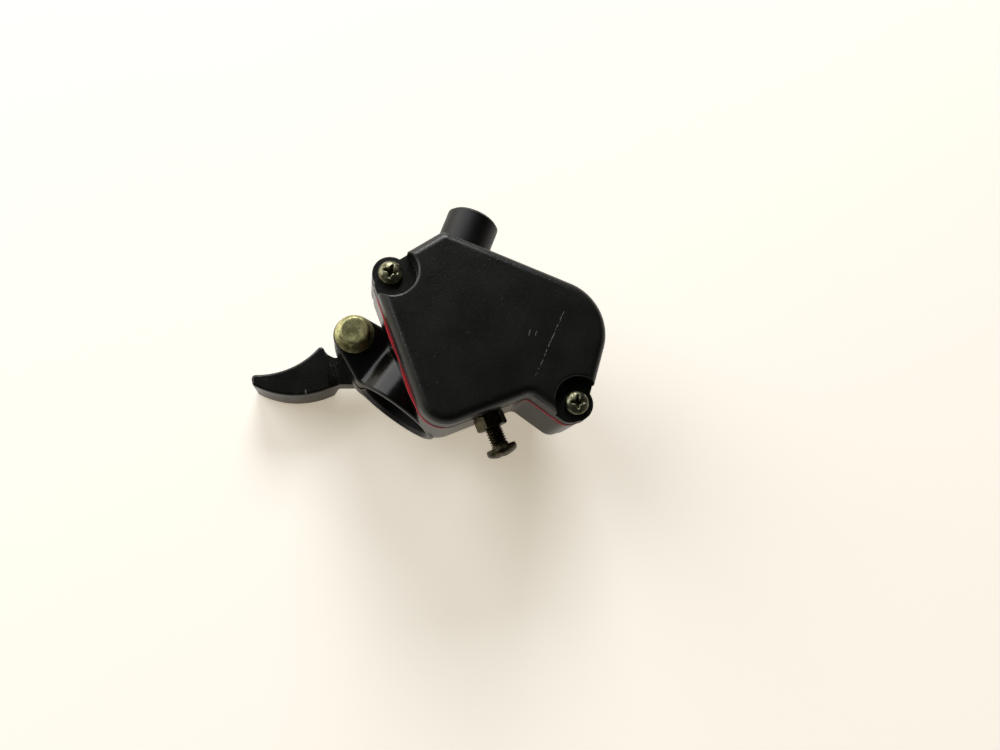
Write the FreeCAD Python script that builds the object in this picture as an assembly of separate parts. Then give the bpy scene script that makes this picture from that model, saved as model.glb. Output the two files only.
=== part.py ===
import FreeCAD
import Part
import math
import os

# Thumb throttle for a 22 mm handlebar: a die-cast housing with a split clamp ring,
# a domed cover on a red gasket, a thumb lever on a vertical spindle, and the arm,
# spring and limiter screw that turn the lever's swing into cable pull.
# Frame: origin at the middle of the clamp bore. +X runs along the handlebar towards
# the grip, +Y is forward (away from the rider), +Z is up. Millimetres and degrees.

# Clamp ring and ear
BORE_R = 11.2
RING_WALL = 3.0
RING_LENGTH = 18.0
MOUTH_CHAMFER = 1.2
SPLIT_GAP = 2.0
BOLT_X = -1.7
BOLT_Y = -22.5
EAR_R = 6.2
EAR_TOP = 8.0
EAR_BOTTOM = -9.0
EAR_SHOULDER = 2.5
EAR_SHOULDER_R = 6.0
EAR_BLEND_R = 3.5
CLAMP_EDGE = 1.1

# Plan of the housing: each wall is a line with a heading and a distance outside a point
SPINDLE_X = -32.2
SPINDLE_Y = 23.8
SPINDLE_CORNER_R = 15.4
REAR_SCREW_SET_IN = 2.3
GRIP_SCREW_SET_IN = 5.4
FRONT_SCREW_X = -19.45
FRONT_SCREW_Y = 40.9
LUG_R = 5.1
LIMITER_WALL_HEADING = 147.3
LIMITER_WALL_OFFSET = 17.2
NOTCH_WALL_OFFSET = 6.3
FORWARD_WALL_HEADING = 198.6
CABLE_WALL_HEADING = 285.0
REAR_WALL_HEADING = 340.0
ARM_END_ROOM = 2.7
GRIP_WALL_HEADING = 55.7
GRIP_WALL_OFFSET = 3.1
GRIP_CORNER_R = 8.0
NOTCH_CORNER_R = 2.5
FRONT_CORNER_R = 4.5
CABLE_CORNER_R = 3.5
REAR_CORNER_R = 5.0

# Heights and walls of the housing
BASE_TOP = 20.0
BASE_BOTTOM = -1.0
REAR_BOTTOM = 8.0
BOTTOM_EDGE = 1.5
BASE_WALL = 2.5
FLOOR = 2.5
BAR_CLEARANCE = 1.2
SADDLE_WALL = 2.2
DEEP_PART_Y = 10.5

# Gasket and cover
GASKET_THICKNESS = 1.2
GASKET_PROUD = 0.15
COVER_HEIGHT = 7.8
COVER_WALL = 2.2
COVER_EDGE = 2.8
FLANGE_HEIGHT = 3.2
REAR_RECESS_R = 7.4
FRONT_RECESS_R = 7.0
RECESS_EDGE = 0.8

# Cable boss
BOSS_R = 7.9
BOSS_LENGTH = 11.4
BOSS_SOCKET_R = 5.0
BOSS_SOCKET_DEPTH = 8.0
CABLE_HOLE_R = 3.2
BOSS_EDGE = 0.8

# Spindle, its tube, bushes and seal
SPINDLE_R = 4.0
RUNNING_FIT = 0.05
SEAT_FIT = 0.03
TUBE_R = 8.5
TUBE_ROOT_R = 10.5
TUBE_BOTTOM = -13.8
TUBE_TOP = 8.0
BUSH_WALL = 1.2
LOWER_BUSH_LENGTH = 9.0
UPPER_BUSH_LENGTH = 8.5
BUSH_FLANGE = 1.0
BUSH_FLANGE_R = 7.4
SEAL_WALL = 2.3
SEAL_LENGTH = 2.4
RIB_COUNT = 4
RIB_THICKNESS = 2.0
RIB_REACH = 15.0
RIB_DEPTH = 8.0
THRUST_WASHER = 0.8
THRUST_WASHER_R = 8.0

# Thumb lever
LEVER_THICKNESS = 7.0
LEVER_HUB_R = 9.5
ARM_ROOT_WIDTH = 14.0
NECK_WIDTH = 8.6
NECK_X = 5.9
NECK_Y = -22.8
PADDLE_TOP = -12.6
PADDLE_BOTTOM = -28.0
HEEL_HEADING = 258.0
HEEL_LENGTH = 7.15
HEEL_HOLLOW = 2.2
PADDLE_HEADING = 334.0
PADDLE_LENGTH = 24.9
TIP_HEADING = 47.0
PADDLE_TIP_WIDTH = 3.4
PADDLE_HOLLOW = 3.4
PADDLE_BELLY = 3.7
TOP_RAMP = 2.8
UNDER_RAMP = 1.5
PADDLE_EDGE = 0.8
RIVET_HEAD_R = 6.0
RIVET_HEAD = 1.6

# Throttle arm, spring and nut
ARM_GAP = 0.6
ARM_THICKNESS = 3.0
ARM_LENGTH = 33.3
ARM_HALF_WIDTH = 3.5
ARM_HUB_R = 8.0
ARM_TIP_R = 5.1
NIPPLE_HOLE_R = 3.1
CABLE_SLOT = 2.0
ARM_REST_LEAD = 12.0
FLATS = 6.4
THREAD_R = 3.0
TAB_WASHER = 0.8
TAB_WASHER_R = 6.5
ARM_NUT_FLATS = 10.0
ARM_NUT_HEIGHT = 5.0
ARM_WASHER = 0.6
SPRING_WIRE_R = 0.75
SPRING_R = 7.6
SPRING_PITCH = 1.6
SPRING_PIECES = 4
SPRING_HOLE_REACH = 14.0
SPRING_START = 90.0
SPRING_LEG = 9.0
SPRING_GAP = 0.15
SPRING_BEND_R = 1.2
COLLAR_WALL = 2.1
STOP_REACH = 24.0
STOP_R = 2.0
STOP_GAP = 0.3

# Screws, bolt and nuts
COVER_SCREW_R = 2.0
COVER_SCREW_LENGTH = 12.0
COVER_HEAD_R = 3.45
COVER_HEAD = 2.5
REAR_SCREW_TURN = 20.0
FRONT_SCREW_TURN = 35.0
CROSS_WIDTH = 1.15
CROSS_SPAN = 0.72
HOLE_FIT = 0.2
THREAD_FIT = 0.05
BOLT_R = 2.5
BOLT_LENGTH = 18.0
BOLT_FLATS = 8.0
BOLT_HEAD = 4.8
BOLT_FLANGE_R = 5.8
BOLT_FLANGE = 1.3
BOLT_TURN = 55.0
LIMITER_R = 2.5
LIMITER_LENGTH = 30.0
LIMITER_EXPOSED = 9.8
LIMITER_HEAD_R = 4.5
LIMITER_HEAD = 2.9
LIMITER_ALONG = 15.6
NUT_FLATS = 8.0
NUT_HEIGHT = 4.0
NUT_CLEARANCE = 0.4

# Heights and radii that follow from the sizes above
PADDLE_CORNER_R = 0.34 * PADDLE_TIP_WIDTH
RING_R = BORE_R + RING_WALL
SADDLE_R = BORE_R + BAR_CLEARANCE
GASKET_TOP = BASE_TOP + GASKET_THICKNESS
FLANGE_TOP = GASKET_TOP + FLANGE_HEIGHT
COVER_TOP = GASKET_TOP + COVER_HEIGHT
BUSH_R = SPINDLE_R + RUNNING_FIT + BUSH_WALL
SEAL_R = SPINDLE_R + RUNNING_FIT + SEAL_WALL
LEVER_TOP = TUBE_BOTTOM - THRUST_WASHER
LEVER_BOTTOM = LEVER_TOP - LEVER_THICKNESS
ARM_BOTTOM = SADDLE_R + SADDLE_WALL + ARM_GAP
ARM_TOP = ARM_BOTTOM + ARM_THICKNESS
ARM_MIDDLE = (ARM_BOTTOM + ARM_TOP) / 2
ARM_REST_HEADING = CABLE_WALL_HEADING - ARM_REST_LEAD
ARM_TOWARDS_REAR = ARM_LENGTH * math.cos(math.radians(ARM_REST_HEADING - REAR_WALL_HEADING + 90))
REAR_WALL_OFFSET = ARM_TOWARDS_REAR + ARM_TIP_R + ARM_END_ROOM + BASE_WALL
BOSS_FROM_SPINDLE = ARM_LENGTH * math.cos(math.radians(ARM_REST_LEAD))
LIMITER_Z = BASE_TOP - NUT_FLATS / 2 - NUT_CLEARANCE
SPINDLE = FreeCAD.Vector(SPINDLE_X, SPINDLE_Y, 0)
FRONT_SCREW = FreeCAD.Vector(FRONT_SCREW_X, FRONT_SCREW_Y, 0)
BOLT = FreeCAD.Vector(BOLT_X, BOLT_Y, 0)
ORIGIN = FreeCAD.Vector(0, 0, 0)
UP = FreeCAD.Vector(0, 0, 1)
ALONG_BAR = FreeCAD.Vector(1, 0, 0)


def heading(angle):
    """Unit vector in plan at an angle from +X."""
    return FreeCAD.Vector(math.cos(math.radians(angle)), math.sin(math.radians(angle)), 0)


def right_of(angle):
    """Outward side of a wall that is walked anticlockwise at this heading."""
    return heading(angle - 90)


def at(point, z):
    """The same plan point at a given height."""
    return FreeCAD.Vector(point.x, point.y, z)


def meet(first, second):
    """Where two plan lines cross; each line is a point and a heading."""
    p, a = first
    q, b = second
    d, e = heading(a), heading(b)
    cross = d.x * e.y - d.y * e.x
    s = ((q.x - p.x) * e.y - (q.y - p.y) * e.x) / cross
    return p + d * s


def rear_screw_point():
    """Plan point of the rear cover screw, set in from the rear and grip walls."""
    rear = SPINDLE + right_of(REAR_WALL_HEADING) * (REAR_WALL_OFFSET - REAR_SCREW_SET_IN)
    grip = right_of(GRIP_WALL_HEADING) * (GRIP_WALL_OFFSET - GRIP_SCREW_SET_IN)
    return meet((rear, REAR_WALL_HEADING), (grip, GRIP_WALL_HEADING))


REAR_SCREW = rear_screw_point()


def cylinder(radius, start, axis, length):
    """Cylinder from a start point along an axis."""
    return Part.makeCylinder(radius, length, start, axis)


def tube(outer, inner, start, axis, length):
    """Straight ring section from a start point along an axis."""
    return cylinder(outer, start, axis, length).cut(cylinder(inner, start, axis, length))


def upright(radius, point, low, high):
    """Vertical cylinder over a plan point between two heights."""
    return cylinder(radius, at(point, low), UP, high - low)


def join(first, *others):
    """Fuse solids and drop the seams between flush faces."""
    return first.fuse(list(others)).removeSplitter()


def housing_lines(inset):
    """The six walls in anticlockwise order, each moved inwards by inset."""
    walls = [
        (ORIGIN, LIMITER_WALL_HEADING, LIMITER_WALL_OFFSET),
        (FRONT_SCREW, 90.0, NOTCH_WALL_OFFSET),
        (SPINDLE, FORWARD_WALL_HEADING, SPINDLE_CORNER_R),
        (SPINDLE, CABLE_WALL_HEADING, SPINDLE_CORNER_R),
        (SPINDLE, REAR_WALL_HEADING, REAR_WALL_OFFSET),
        (ORIGIN, GRIP_WALL_HEADING, GRIP_WALL_OFFSET),
    ]
    return [(point + right_of(angle) * (offset - inset), angle) for point, angle, offset in walls]


def housing_face(inset, z):
    """Plan of the housing at a height, with every corner rounded by a tangent arc."""
    lines = housing_lines(inset)
    radii = [NOTCH_CORNER_R, FRONT_CORNER_R, SPINDLE_CORNER_R, CABLE_CORNER_R, REAR_CORNER_R, GRIP_CORNER_R]
    arcs = []
    for index, radius in enumerate(radii):
        before, after = lines[index], lines[(index + 1) % len(lines)]
        turn = (after[1] - before[1] + 180) % 360 - 180
        grown = radius - inset if turn > 0 else radius + inset
        grown = max(grown, 0.4)
        corner = meet(before, after)
        half = math.radians(abs(turn) / 2)
        start = corner - heading(before[1]) * (grown * math.tan(half))
        end = corner + heading(after[1]) * (grown * math.tan(half))
        inwards = (heading(after[1]) - heading(before[1])).normalize()
        middle = corner + inwards * (grown / math.cos(half) - grown)
        arcs.append((at(start, z), at(middle, z), at(end, z)))
    edges = []
    for index, arc in enumerate(arcs):
        following = arcs[(index + 1) % len(arcs)]
        edges.append(Part.Arc(*arc).toShape())
        edges.append(Part.LineSegment(arc[2], following[0]).toShape())
    return Part.Face(Part.Wire(edges))


def housing_prism(inset, low, high):
    """Solid on the housing's plan between two heights."""
    return housing_face(inset, low).extrude(UP * (high - low))


def edges_at(shape, z):
    """Edges that lie wholly in the plane at this height."""
    return [e for e in shape.Edges if abs(e.BoundBox.ZMin - z) < 1e-5 and abs(e.BoundBox.ZMax - z) < 1e-5]


def clamp_section(x):
    """Section across the bar: the ring's outside and the ear, joined by hollow blends."""
    reach = RING_R + EAR_BLEND_R
    far = BOLT_Y - EAR_R - 1
    blends = []
    for z, side in ((EAR_TOP, 1), (EAR_BOTTOM, -1)):
        rise = abs(z) + EAR_BLEND_R
        centre = FreeCAD.Vector(x, -math.sqrt(reach**2 - rise**2), side * rise)
        on_ear = FreeCAD.Vector(x, centre.y, z)
        middle_of_bar = FreeCAD.Vector(x, 0, 0)
        on_ring = middle_of_bar + (centre - middle_of_bar) * (RING_R / reach)
        towards = ((on_ear + on_ring) * 0.5 - centre).normalize()
        blends.append((on_ear, centre + towards * EAR_BLEND_R, on_ring))
    (top_ear, top_middle, top_ring), (low_ear, low_middle, low_ring) = blends
    top_end = FreeCAD.Vector(x, far, EAR_TOP)
    low_end = FreeCAD.Vector(x, far, EAR_BOTTOM)
    return Part.Face(
        Part.Wire(
            [
                Part.LineSegment(top_end, top_ear).toShape(),
                Part.Arc(top_ear, top_middle, top_ring).toShape(),
                Part.Arc(top_ring, FreeCAD.Vector(x, RING_R, 0), low_ring).toShape(),
                Part.Arc(low_ring, low_middle, low_ear).toShape(),
                Part.LineSegment(low_ear, low_end).toShape(),
                Part.LineSegment(low_end, top_end).toShape(),
            ]
        )
    )


def clamp_plan():
    """Plan of ring and ear as a tall block: end walls drawn in to a round end about the bolt."""
    half = RING_LENGTH / 2
    shoulder = -(BORE_R + EAR_SHOULDER)
    low, high = -(RING_R + 2), RING_R + 2
    ends = []
    for side in (1, -1):
        corner = FreeCAD.Vector(side * half, shoulder, low)
        towards = BOLT - at(corner, 0)
        swing = math.degrees(math.acos(EAR_R / towards.Length))
        base = math.degrees(math.atan2(-towards.y, -towards.x))
        ends.append((corner, at(BOLT + heading(base - side * swing) * EAR_R, low)))
    far = at(BOLT + FreeCAD.Vector(0, -EAR_R, 0), low)
    (right, right_touch), (left, left_touch) = ends
    start = FreeCAD.Vector(half, high, low)
    finish = FreeCAD.Vector(-half, high, low)
    wire = Part.Wire(
        [
            Part.LineSegment(start, right).toShape(),
            Part.LineSegment(right, right_touch).toShape(),
            Part.Arc(right_touch, far, left_touch).toShape(),
            Part.LineSegment(left_touch, left).toShape(),
            Part.LineSegment(left, finish).toShape(),
            Part.LineSegment(finish, start).toShape(),
        ]
    )
    block = Part.Face(wire).extrude(UP * (high - low))
    corners = [
        edge
        for edge in block.Edges
        if all(abs(abs(v.X) - half) < 1e-4 and abs(v.Y - shoulder) < 1e-4 for v in edge.Vertexes)
    ]
    return block.makeFillet(EAR_SHOULDER_R, corners)


def clamp_ring():
    """Split clamp without its bore: ring and ear in one flowing form with rounded end edges."""
    solid = clamp_section(-RING_LENGTH / 2 - 1).extrude(ALONG_BAR * (RING_LENGTH + 2)).common(clamp_plan())
    rims = []
    for edge in solid.Edges:
        low, high = edge.ParameterRange
        along = edge.tangentAt((low + high) / 2)
        if abs(along.x) < 0.999 and abs(along.z) < 0.999 or edge.Curve.TypeId != "Part::GeomLine":
            rims.append(edge)
    return solid.makeFillet(CLAMP_EDGE, rims)


def cable_line():
    """A point on the cable's line at the housing wall, and the outward direction."""
    outward = right_of(CABLE_WALL_HEADING)
    wall_point = SPINDLE + heading(CABLE_WALL_HEADING) * BOSS_FROM_SPINDLE + outward * SPINDLE_CORNER_R
    return at(wall_point, ARM_MIDDLE), outward


def boss_solid(radius, inwards, outwards):
    """Cylinder about the cable's line, from inside the wall to outside it."""
    wall_point, outward = cable_line()
    return cylinder(radius, wall_point - outward * inwards, outward, inwards + outwards)


def limiter_line():
    """Where the limiter screw crosses the wall, and the outward direction."""
    outward = right_of(LIMITER_WALL_HEADING)
    foot = outward * LIMITER_WALL_OFFSET + heading(LIMITER_WALL_HEADING) * LIMITER_ALONG
    return at(foot, LIMITER_Z), outward


def ribs():
    """Gussets that stay the spindle tube under the floor of the housing."""
    webs = []
    for index in range(RIB_COUNT):
        outward = heading(FORWARD_WALL_HEADING + 45 + index * 360 / RIB_COUNT)
        root = at(SPINDLE, BASE_BOTTOM + 0.5)
        side = outward.cross(UP) * (RIB_THICKNESS / 2)
        corners = [
            root + outward * (TUBE_R - 1.5),
            root + outward * RIB_REACH,
            root + outward * (TUBE_R - 1.5) - UP * (RIB_DEPTH + 0.5),
        ]
        wire = Part.makePolygon([point - side for point in corners + corners[:1]])
        webs.append(Part.Face(wire).extrude(side * 2))
    return webs


def housing_body():
    """Base casting: deep forward part, shallow part over the bar, clamp ring, ear, boss and tube."""
    shell = housing_prism(0, BASE_BOTTOM, BASE_TOP)
    shell = shell.makeFillet(BOTTOM_EDGE, edges_at(shell, BASE_BOTTOM))
    shell = join(shell, upright(LUG_R, FRONT_SCREW, BASE_BOTTOM + BOTTOM_EDGE, BASE_TOP))
    span = 200.0
    over_bar = Part.makeBox(span, span, span, FreeCAD.Vector(-span / 2, DEEP_PART_Y - span, REAR_BOTTOM - span))
    shell = shell.cut(over_bar)
    shell = join(shell, upright(LUG_R, REAR_SCREW, REAR_BOTTOM, BASE_TOP))
    shell = join(shell, boss_solid(BOSS_R, BASE_WALL, BOSS_LENGTH))

    bar_start = FreeCAD.Vector(-span / 2, 0, 0)
    shell = shell.cut(cylinder(SADDLE_R, bar_start, ALONG_BAR, span))

    ring_start = FreeCAD.Vector(-RING_LENGTH / 2, 0, 0)
    shell = join(shell, clamp_ring())
    shell = join(shell, Part.makeCone(TUBE_R, TUBE_ROOT_R, BASE_BOTTOM + 0.5 - TUBE_BOTTOM, at(SPINDLE, TUBE_BOTTOM)))
    shell = join(shell, *ribs())
    shell = shell.cut(cylinder(SADDLE_R, bar_start, ALONG_BAR, span / 2 - RING_LENGTH / 2))

    shell = shell.cut(cylinder(BORE_R, ring_start, ALONG_BAR, RING_LENGTH))
    for side in (1, -1):
        mouth = FreeCAD.Vector(side * RING_LENGTH / 2, 0, 0)
        wide, reach = BORE_R + MOUTH_CHAMFER, MOUTH_CHAMFER
        shell = shell.cut(Part.makeCone(wide, BORE_R, reach, mouth, ALONG_BAR * -side))
    slot_depth = abs(BOLT_Y) + EAR_R + 1
    slot = Part.makeBox(
        RING_LENGTH + 2, slot_depth, SPLIT_GAP, FreeCAD.Vector(-RING_LENGTH / 2 - 1, -slot_depth, -SPLIT_GAP / 2)
    )
    shell = shell.cut(slot)
    shell = shell.cut(upright(BOLT_R + HOLE_FIT, BOLT, 0, EAR_TOP + 1))
    shell = shell.cut(upright(BOLT_R + THREAD_FIT, BOLT, EAR_BOTTOM - 1, 0))

    shell = shell.cut(housing_cavity())
    shell = join(shell, *inner_posts())
    wall_point, outward = cable_line()
    socket_start = wall_point + outward * (BOSS_LENGTH - BOSS_SOCKET_DEPTH)
    shell = shell.cut(cylinder(BOSS_SOCKET_R, socket_start, outward, BOSS_SOCKET_DEPTH + 1))
    shell = shell.cut(boss_solid(CABLE_HOLE_R, BASE_WALL + 1, BOSS_LENGTH))
    rim_start = wall_point + outward * (BOSS_LENGTH - BOSS_EDGE)
    blank = cylinder(BOSS_R + 1, rim_start, outward, BOSS_EDGE)
    shell = shell.cut(blank.cut(Part.makeCone(BOSS_R, BOSS_R - BOSS_EDGE, BOSS_EDGE, rim_start, outward)))

    shell = shell.cut(upright(BUSH_R + SEAT_FIT, SPINDLE, TUBE_BOTTOM - 1, TUBE_TOP + 1))
    shell = shell.cut(upright(SEAL_R + SEAT_FIT, SPINDLE, TUBE_BOTTOM - 1, TUBE_BOTTOM + SEAL_LENGTH + 0.1))
    foot, outward = limiter_line()
    shell = shell.cut(cylinder(LIMITER_R + THREAD_FIT, foot - outward * (BASE_WALL + 2), outward, BASE_WALL + 4))
    for screw in (REAR_SCREW, FRONT_SCREW):
        hole_bottom = FLANGE_TOP - COVER_SCREW_LENGTH - 1
        shell = shell.cut(upright(COVER_SCREW_R + THREAD_FIT, screw, hole_bottom, BASE_TOP + 1))
    return shell


def housing_cavity():
    """Space inside the base: deep round the spindle tube, shallow over the bar."""
    span = 200.0
    space = housing_prism(BASE_WALL, BASE_BOTTOM + FLOOR, BASE_TOP + 10)
    bar_start = FreeCAD.Vector(-span / 2, 0, 0)
    space = space.cut(cylinder(SADDLE_R + SADDLE_WALL, bar_start, ALONG_BAR, span))
    rear_floor = REAR_BOTTOM + SADDLE_WALL
    space = space.cut(Part.makeBox(span, span, span, FreeCAD.Vector(-span / 2, -span, rear_floor - span)))
    space = space.cut(upright(TUBE_R, SPINDLE, BASE_BOTTOM, TUBE_TOP))
    for screw in (REAR_SCREW, FRONT_SCREW):
        space = space.cut(upright(LUG_R, screw, BASE_BOTTOM, BASE_TOP + 10))
    return space


def stop_centre():
    """Plan point of the post that the throttle arm comes back against."""
    along = heading(ARM_REST_HEADING)
    return SPINDLE + along * STOP_REACH - heading(ARM_REST_HEADING + 90) * (ARM_HALF_WIDTH + STOP_GAP + STOP_R)


def spring_post_centre():
    """Plan point of the post behind the spring's lower leg."""
    start = SPINDLE + heading(SPRING_START) * (SPRING_R + 2 * SPRING_WIRE_R + STOP_R + 0.1)
    return start + right_of(SPRING_START) * (SPRING_LEG - 2 * STOP_R)


def inner_posts():
    """Rest stop for the arm and anchor for the spring, both cast with the floor."""
    floor_clear = SADDLE_R + SADDLE_WALL - 0.8
    stop = upright(STOP_R, stop_centre(), floor_clear, ARM_TOP)
    anchor = upright(STOP_R, spring_post_centre(), BASE_BOTTOM + FLOOR - 0.5, TUBE_TOP + 4)
    return [stop, anchor]


def recess_tool(screw, radius):
    """Round pocket down to the screw flange, with a rounded rim at the cover's top."""
    rim = COVER_TOP - RECESS_EDGE
    inner = FreeCAD.Vector(0, 0, FLANGE_TOP)
    points = [
        inner,
        FreeCAD.Vector(radius, 0, FLANGE_TOP),
        FreeCAD.Vector(radius, 0, rim),
        FreeCAD.Vector(radius + RECESS_EDGE, 0, COVER_TOP),
        FreeCAD.Vector(radius + RECESS_EDGE, 0, COVER_TOP + 1),
        FreeCAD.Vector(0, 0, COVER_TOP + 1),
    ]
    bend = RECESS_EDGE * (1 - math.sqrt(0.5))
    middle = FreeCAD.Vector(radius + bend, 0, COVER_TOP - bend)
    edges = [
        Part.LineSegment(points[0], points[1]).toShape(),
        Part.LineSegment(points[1], points[2]).toShape(),
        Part.Arc(points[2], middle, points[3]).toShape(),
        Part.LineSegment(points[3], points[4]).toShape(),
        Part.LineSegment(points[4], points[5]).toShape(),
        Part.LineSegment(points[5], points[0]).toShape(),
    ]
    tool = Part.Face(Part.Wire(edges)).revolve(ORIGIN, UP, 360)
    tool.translate(screw)
    return tool


def top_cover():
    """Domed cover: hollow cap with a rounded top edge and a pocket at each screw."""
    dome = housing_prism(0, GASKET_TOP, COVER_TOP)
    dome = dome.makeFillet(COVER_EDGE, edges_at(dome, COVER_TOP))
    hollow = housing_prism(COVER_WALL, GASKET_TOP - 1, COVER_TOP - COVER_WALL)
    for screw, radius in ((REAR_SCREW, REAR_RECESS_R), (FRONT_SCREW, FRONT_RECESS_R)):
        dome = dome.cut(recess_tool(screw, radius))
        dome = join(dome, upright(LUG_R, screw, GASKET_TOP, FLANGE_TOP))
        hollow = hollow.cut(upright(radius + COVER_WALL, screw, GASKET_TOP - 1, COVER_TOP))
    cover = dome.cut(hollow)
    for screw in (REAR_SCREW, FRONT_SCREW):
        cover = cover.cut(upright(COVER_SCREW_R + HOLE_FIT, screw, GASKET_TOP - 1, FLANGE_TOP + 1))
    return cover.cut(boss_solid(BOSS_R + HOLE_FIT, BASE_WALL + 1, BOSS_LENGTH))


def cover_gasket():
    """Flat gasket that stands a little proud of the joint all round."""
    sheet = housing_prism(-GASKET_PROUD, BASE_TOP, GASKET_TOP)
    window = housing_prism(BASE_WALL, BASE_TOP, GASKET_TOP)
    for screw in (REAR_SCREW, FRONT_SCREW):
        sheet = join(sheet, upright(LUG_R + GASKET_PROUD, screw, BASE_TOP, GASKET_TOP))
        window = window.cut(upright(LUG_R, screw, BASE_TOP, GASKET_TOP))
    sheet = sheet.cut(window)
    for screw in (REAR_SCREW, FRONT_SCREW):
        sheet = sheet.cut(upright(COVER_SCREW_R + HOLE_FIT, screw, BASE_TOP, GASKET_TOP))
    return sheet.cut(boss_solid(BOSS_R + HOLE_FIT, BASE_WALL + 1, BOSS_LENGTH))


def pan_head(radius, height):
    """Round head on the plane z = 0 with a domed top and a cross recess."""
    side = height * 0.45
    outline = [
        Part.LineSegment(ORIGIN, FreeCAD.Vector(radius, 0, 0)).toShape(),
        Part.LineSegment(FreeCAD.Vector(radius, 0, 0), FreeCAD.Vector(radius, 0, side)).toShape(),
        Part.Arc(
            FreeCAD.Vector(radius, 0, side),
            FreeCAD.Vector(radius * 0.72, 0, height * 0.86),
            FreeCAD.Vector(0, 0, height),
        ).toShape(),
        Part.LineSegment(FreeCAD.Vector(0, 0, height), ORIGIN).toShape(),
    ]
    head = Part.Face(Part.Wire(outline)).revolve(ORIGIN, UP, 360)
    span, width = 2 * radius * CROSS_SPAN, CROSS_WIDTH * radius / COVER_HEAD_R
    for length, breadth in ((span, width), (width, span)):
        corner = FreeCAD.Vector(-length / 2, -breadth / 2, height * 0.32)
        head = head.cut(Part.makeBox(length, breadth, height, corner))
    return head


def pan_screw(radius, length, head_radius, head_height):
    """Pan-head screw with its head on z = 0 and its shank below, tip chamfered."""
    tip = radius * 0.3
    shank = upright(radius, ORIGIN, -length + tip, 0)
    point = Part.makeCone(radius - tip, radius, tip, FreeCAD.Vector(0, 0, -length))
    return join(pan_head(head_radius, head_height), shank, point)


def placed(shape, origin, axis, turn=0.0):
    """Copy of a shape built about +Z, turned about its own axis and stood on another axis."""
    copy = shape.copy()
    copy.rotate(ORIGIN, UP, turn)
    spin = FreeCAD.Rotation(UP, axis)
    copy.Placement = FreeCAD.Placement(origin, spin).multiply(copy.Placement)
    return copy


def hexagon(flats, height, turn=0.0):
    """Hexagonal bar about +Z from z = 0, given by its width across flats."""
    corner_r = flats / math.sqrt(3)
    points = [heading(turn + 60 * index) * corner_r for index in range(6)]
    return Part.Face(Part.makePolygon(points + points[:1])).extrude(UP * height)


def hex_nut(flats, height, hole_radius, turn=0.0):
    """Nut from z = 0 with both faces chamfered round."""
    corner_r = flats / math.sqrt(3)
    drop = (corner_r - flats / 2) * 0.58
    body = hexagon(flats, height, turn)
    barrel = upright(corner_r, ORIGIN, drop, height - drop)
    low = Part.makeCone(flats / 2, corner_r, drop)
    high = Part.makeCone(corner_r, flats / 2, drop, FreeCAD.Vector(0, 0, height - drop))
    return body.common(join(barrel, low, high)).cut(upright(hole_radius, ORIGIN, -1, height + 1))


def clamp_bolt():
    """Hexagon flange bolt with a chamfered head, down through the ear."""
    corner_r = BOLT_FLATS / math.sqrt(3)
    bevel = (corner_r - BOLT_FLATS / 2) * 0.7
    blank = upright(corner_r, ORIGIN, 0, BOLT_HEAD - bevel)
    top = Part.makeCone(corner_r, BOLT_FLATS / 2, bevel, FreeCAD.Vector(0, 0, BOLT_HEAD - bevel))
    crown = hexagon(BOLT_FLATS, BOLT_HEAD, BOLT_TURN).common(join(blank, top))
    flange = upright(BOLT_FLANGE_R, ORIGIN, 0, BOLT_FLANGE * 0.5)
    slope = Part.makeCone(BOLT_FLANGE_R, BOLT_FLATS / 2, BOLT_FLANGE * 0.7, FreeCAD.Vector(0, 0, BOLT_FLANGE * 0.5))
    tip = BOLT_R * 0.3
    shank = upright(BOLT_R, ORIGIN, -BOLT_LENGTH + tip, 0)
    point = Part.makeCone(BOLT_R - tip, BOLT_R, tip, FreeCAD.Vector(0, 0, -BOLT_LENGTH))
    return placed(join(crown, flange, slope, shank, point), at(BOLT, EAR_TOP), UP)


def limiter_screw():
    """Pan-head screw whose tip is the arm's full-throttle stop."""
    foot, outward = limiter_line()
    screw = pan_screw(LIMITER_R, LIMITER_LENGTH, LIMITER_HEAD_R, LIMITER_HEAD)
    return placed(screw, foot + outward * LIMITER_EXPOSED, outward, 45)


def limiter_lock_nut():
    """Nut that locks the limiter screw against the wall, one flat uppermost."""
    foot, outward = limiter_line()
    flat_up = LIMITER_WALL_HEADING - 90 + 30
    return placed(hex_nut(NUT_FLATS, NUT_HEIGHT, LIMITER_R + THREAD_FIT, flat_up), foot, outward)


def thumb_lever():
    """Lever in one casting: hub under the spindle tube, flat arm and hooked thumb paddle."""
    neck, run, side = neck_line()
    corners = [
        SPINDLE + side * (ARM_ROOT_WIDTH / 2),
        SPINDLE - side * (ARM_ROOT_WIDTH / 2),
        neck + run * 3 - side * (NECK_WIDTH / 2),
        neck + run * 3 + side * (NECK_WIDTH / 2),
    ]
    flat = Part.Face(Part.makePolygon([at(p, LEVER_BOTTOM) for p in corners + corners[:1]]))
    arm = flat.extrude(UP * LEVER_THICKNESS)
    hub = upright(LEVER_HUB_R, SPINDLE, LEVER_BOTTOM, LEVER_TOP)
    body = join(arm, hub)

    paddle = paddle_face(PADDLE_BOTTOM).extrude(UP * (PADDLE_TOP - PADDLE_BOTTOM))
    paddle = paddle.makeFillet(PADDLE_CORNER_R, [e for e in paddle.Edges if rounded_corner(e)])
    paddle = paddle.makeFillet(PADDLE_EDGE, edges_at(paddle, PADDLE_BOTTOM) + edges_at(paddle, PADDLE_TOP))
    paddle = paddle.cut(neck_wedge(LEVER_TOP, PADDLE_TOP, TOP_RAMP))
    paddle = paddle.cut(neck_wedge(LEVER_BOTTOM, PADDLE_BOTTOM, UNDER_RAMP))
    body = join(body, paddle)
    return body.cut(upright(SPINDLE_R + SEAT_FIT, SPINDLE, LEVER_BOTTOM - 1, LEVER_TOP + 1))


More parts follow.
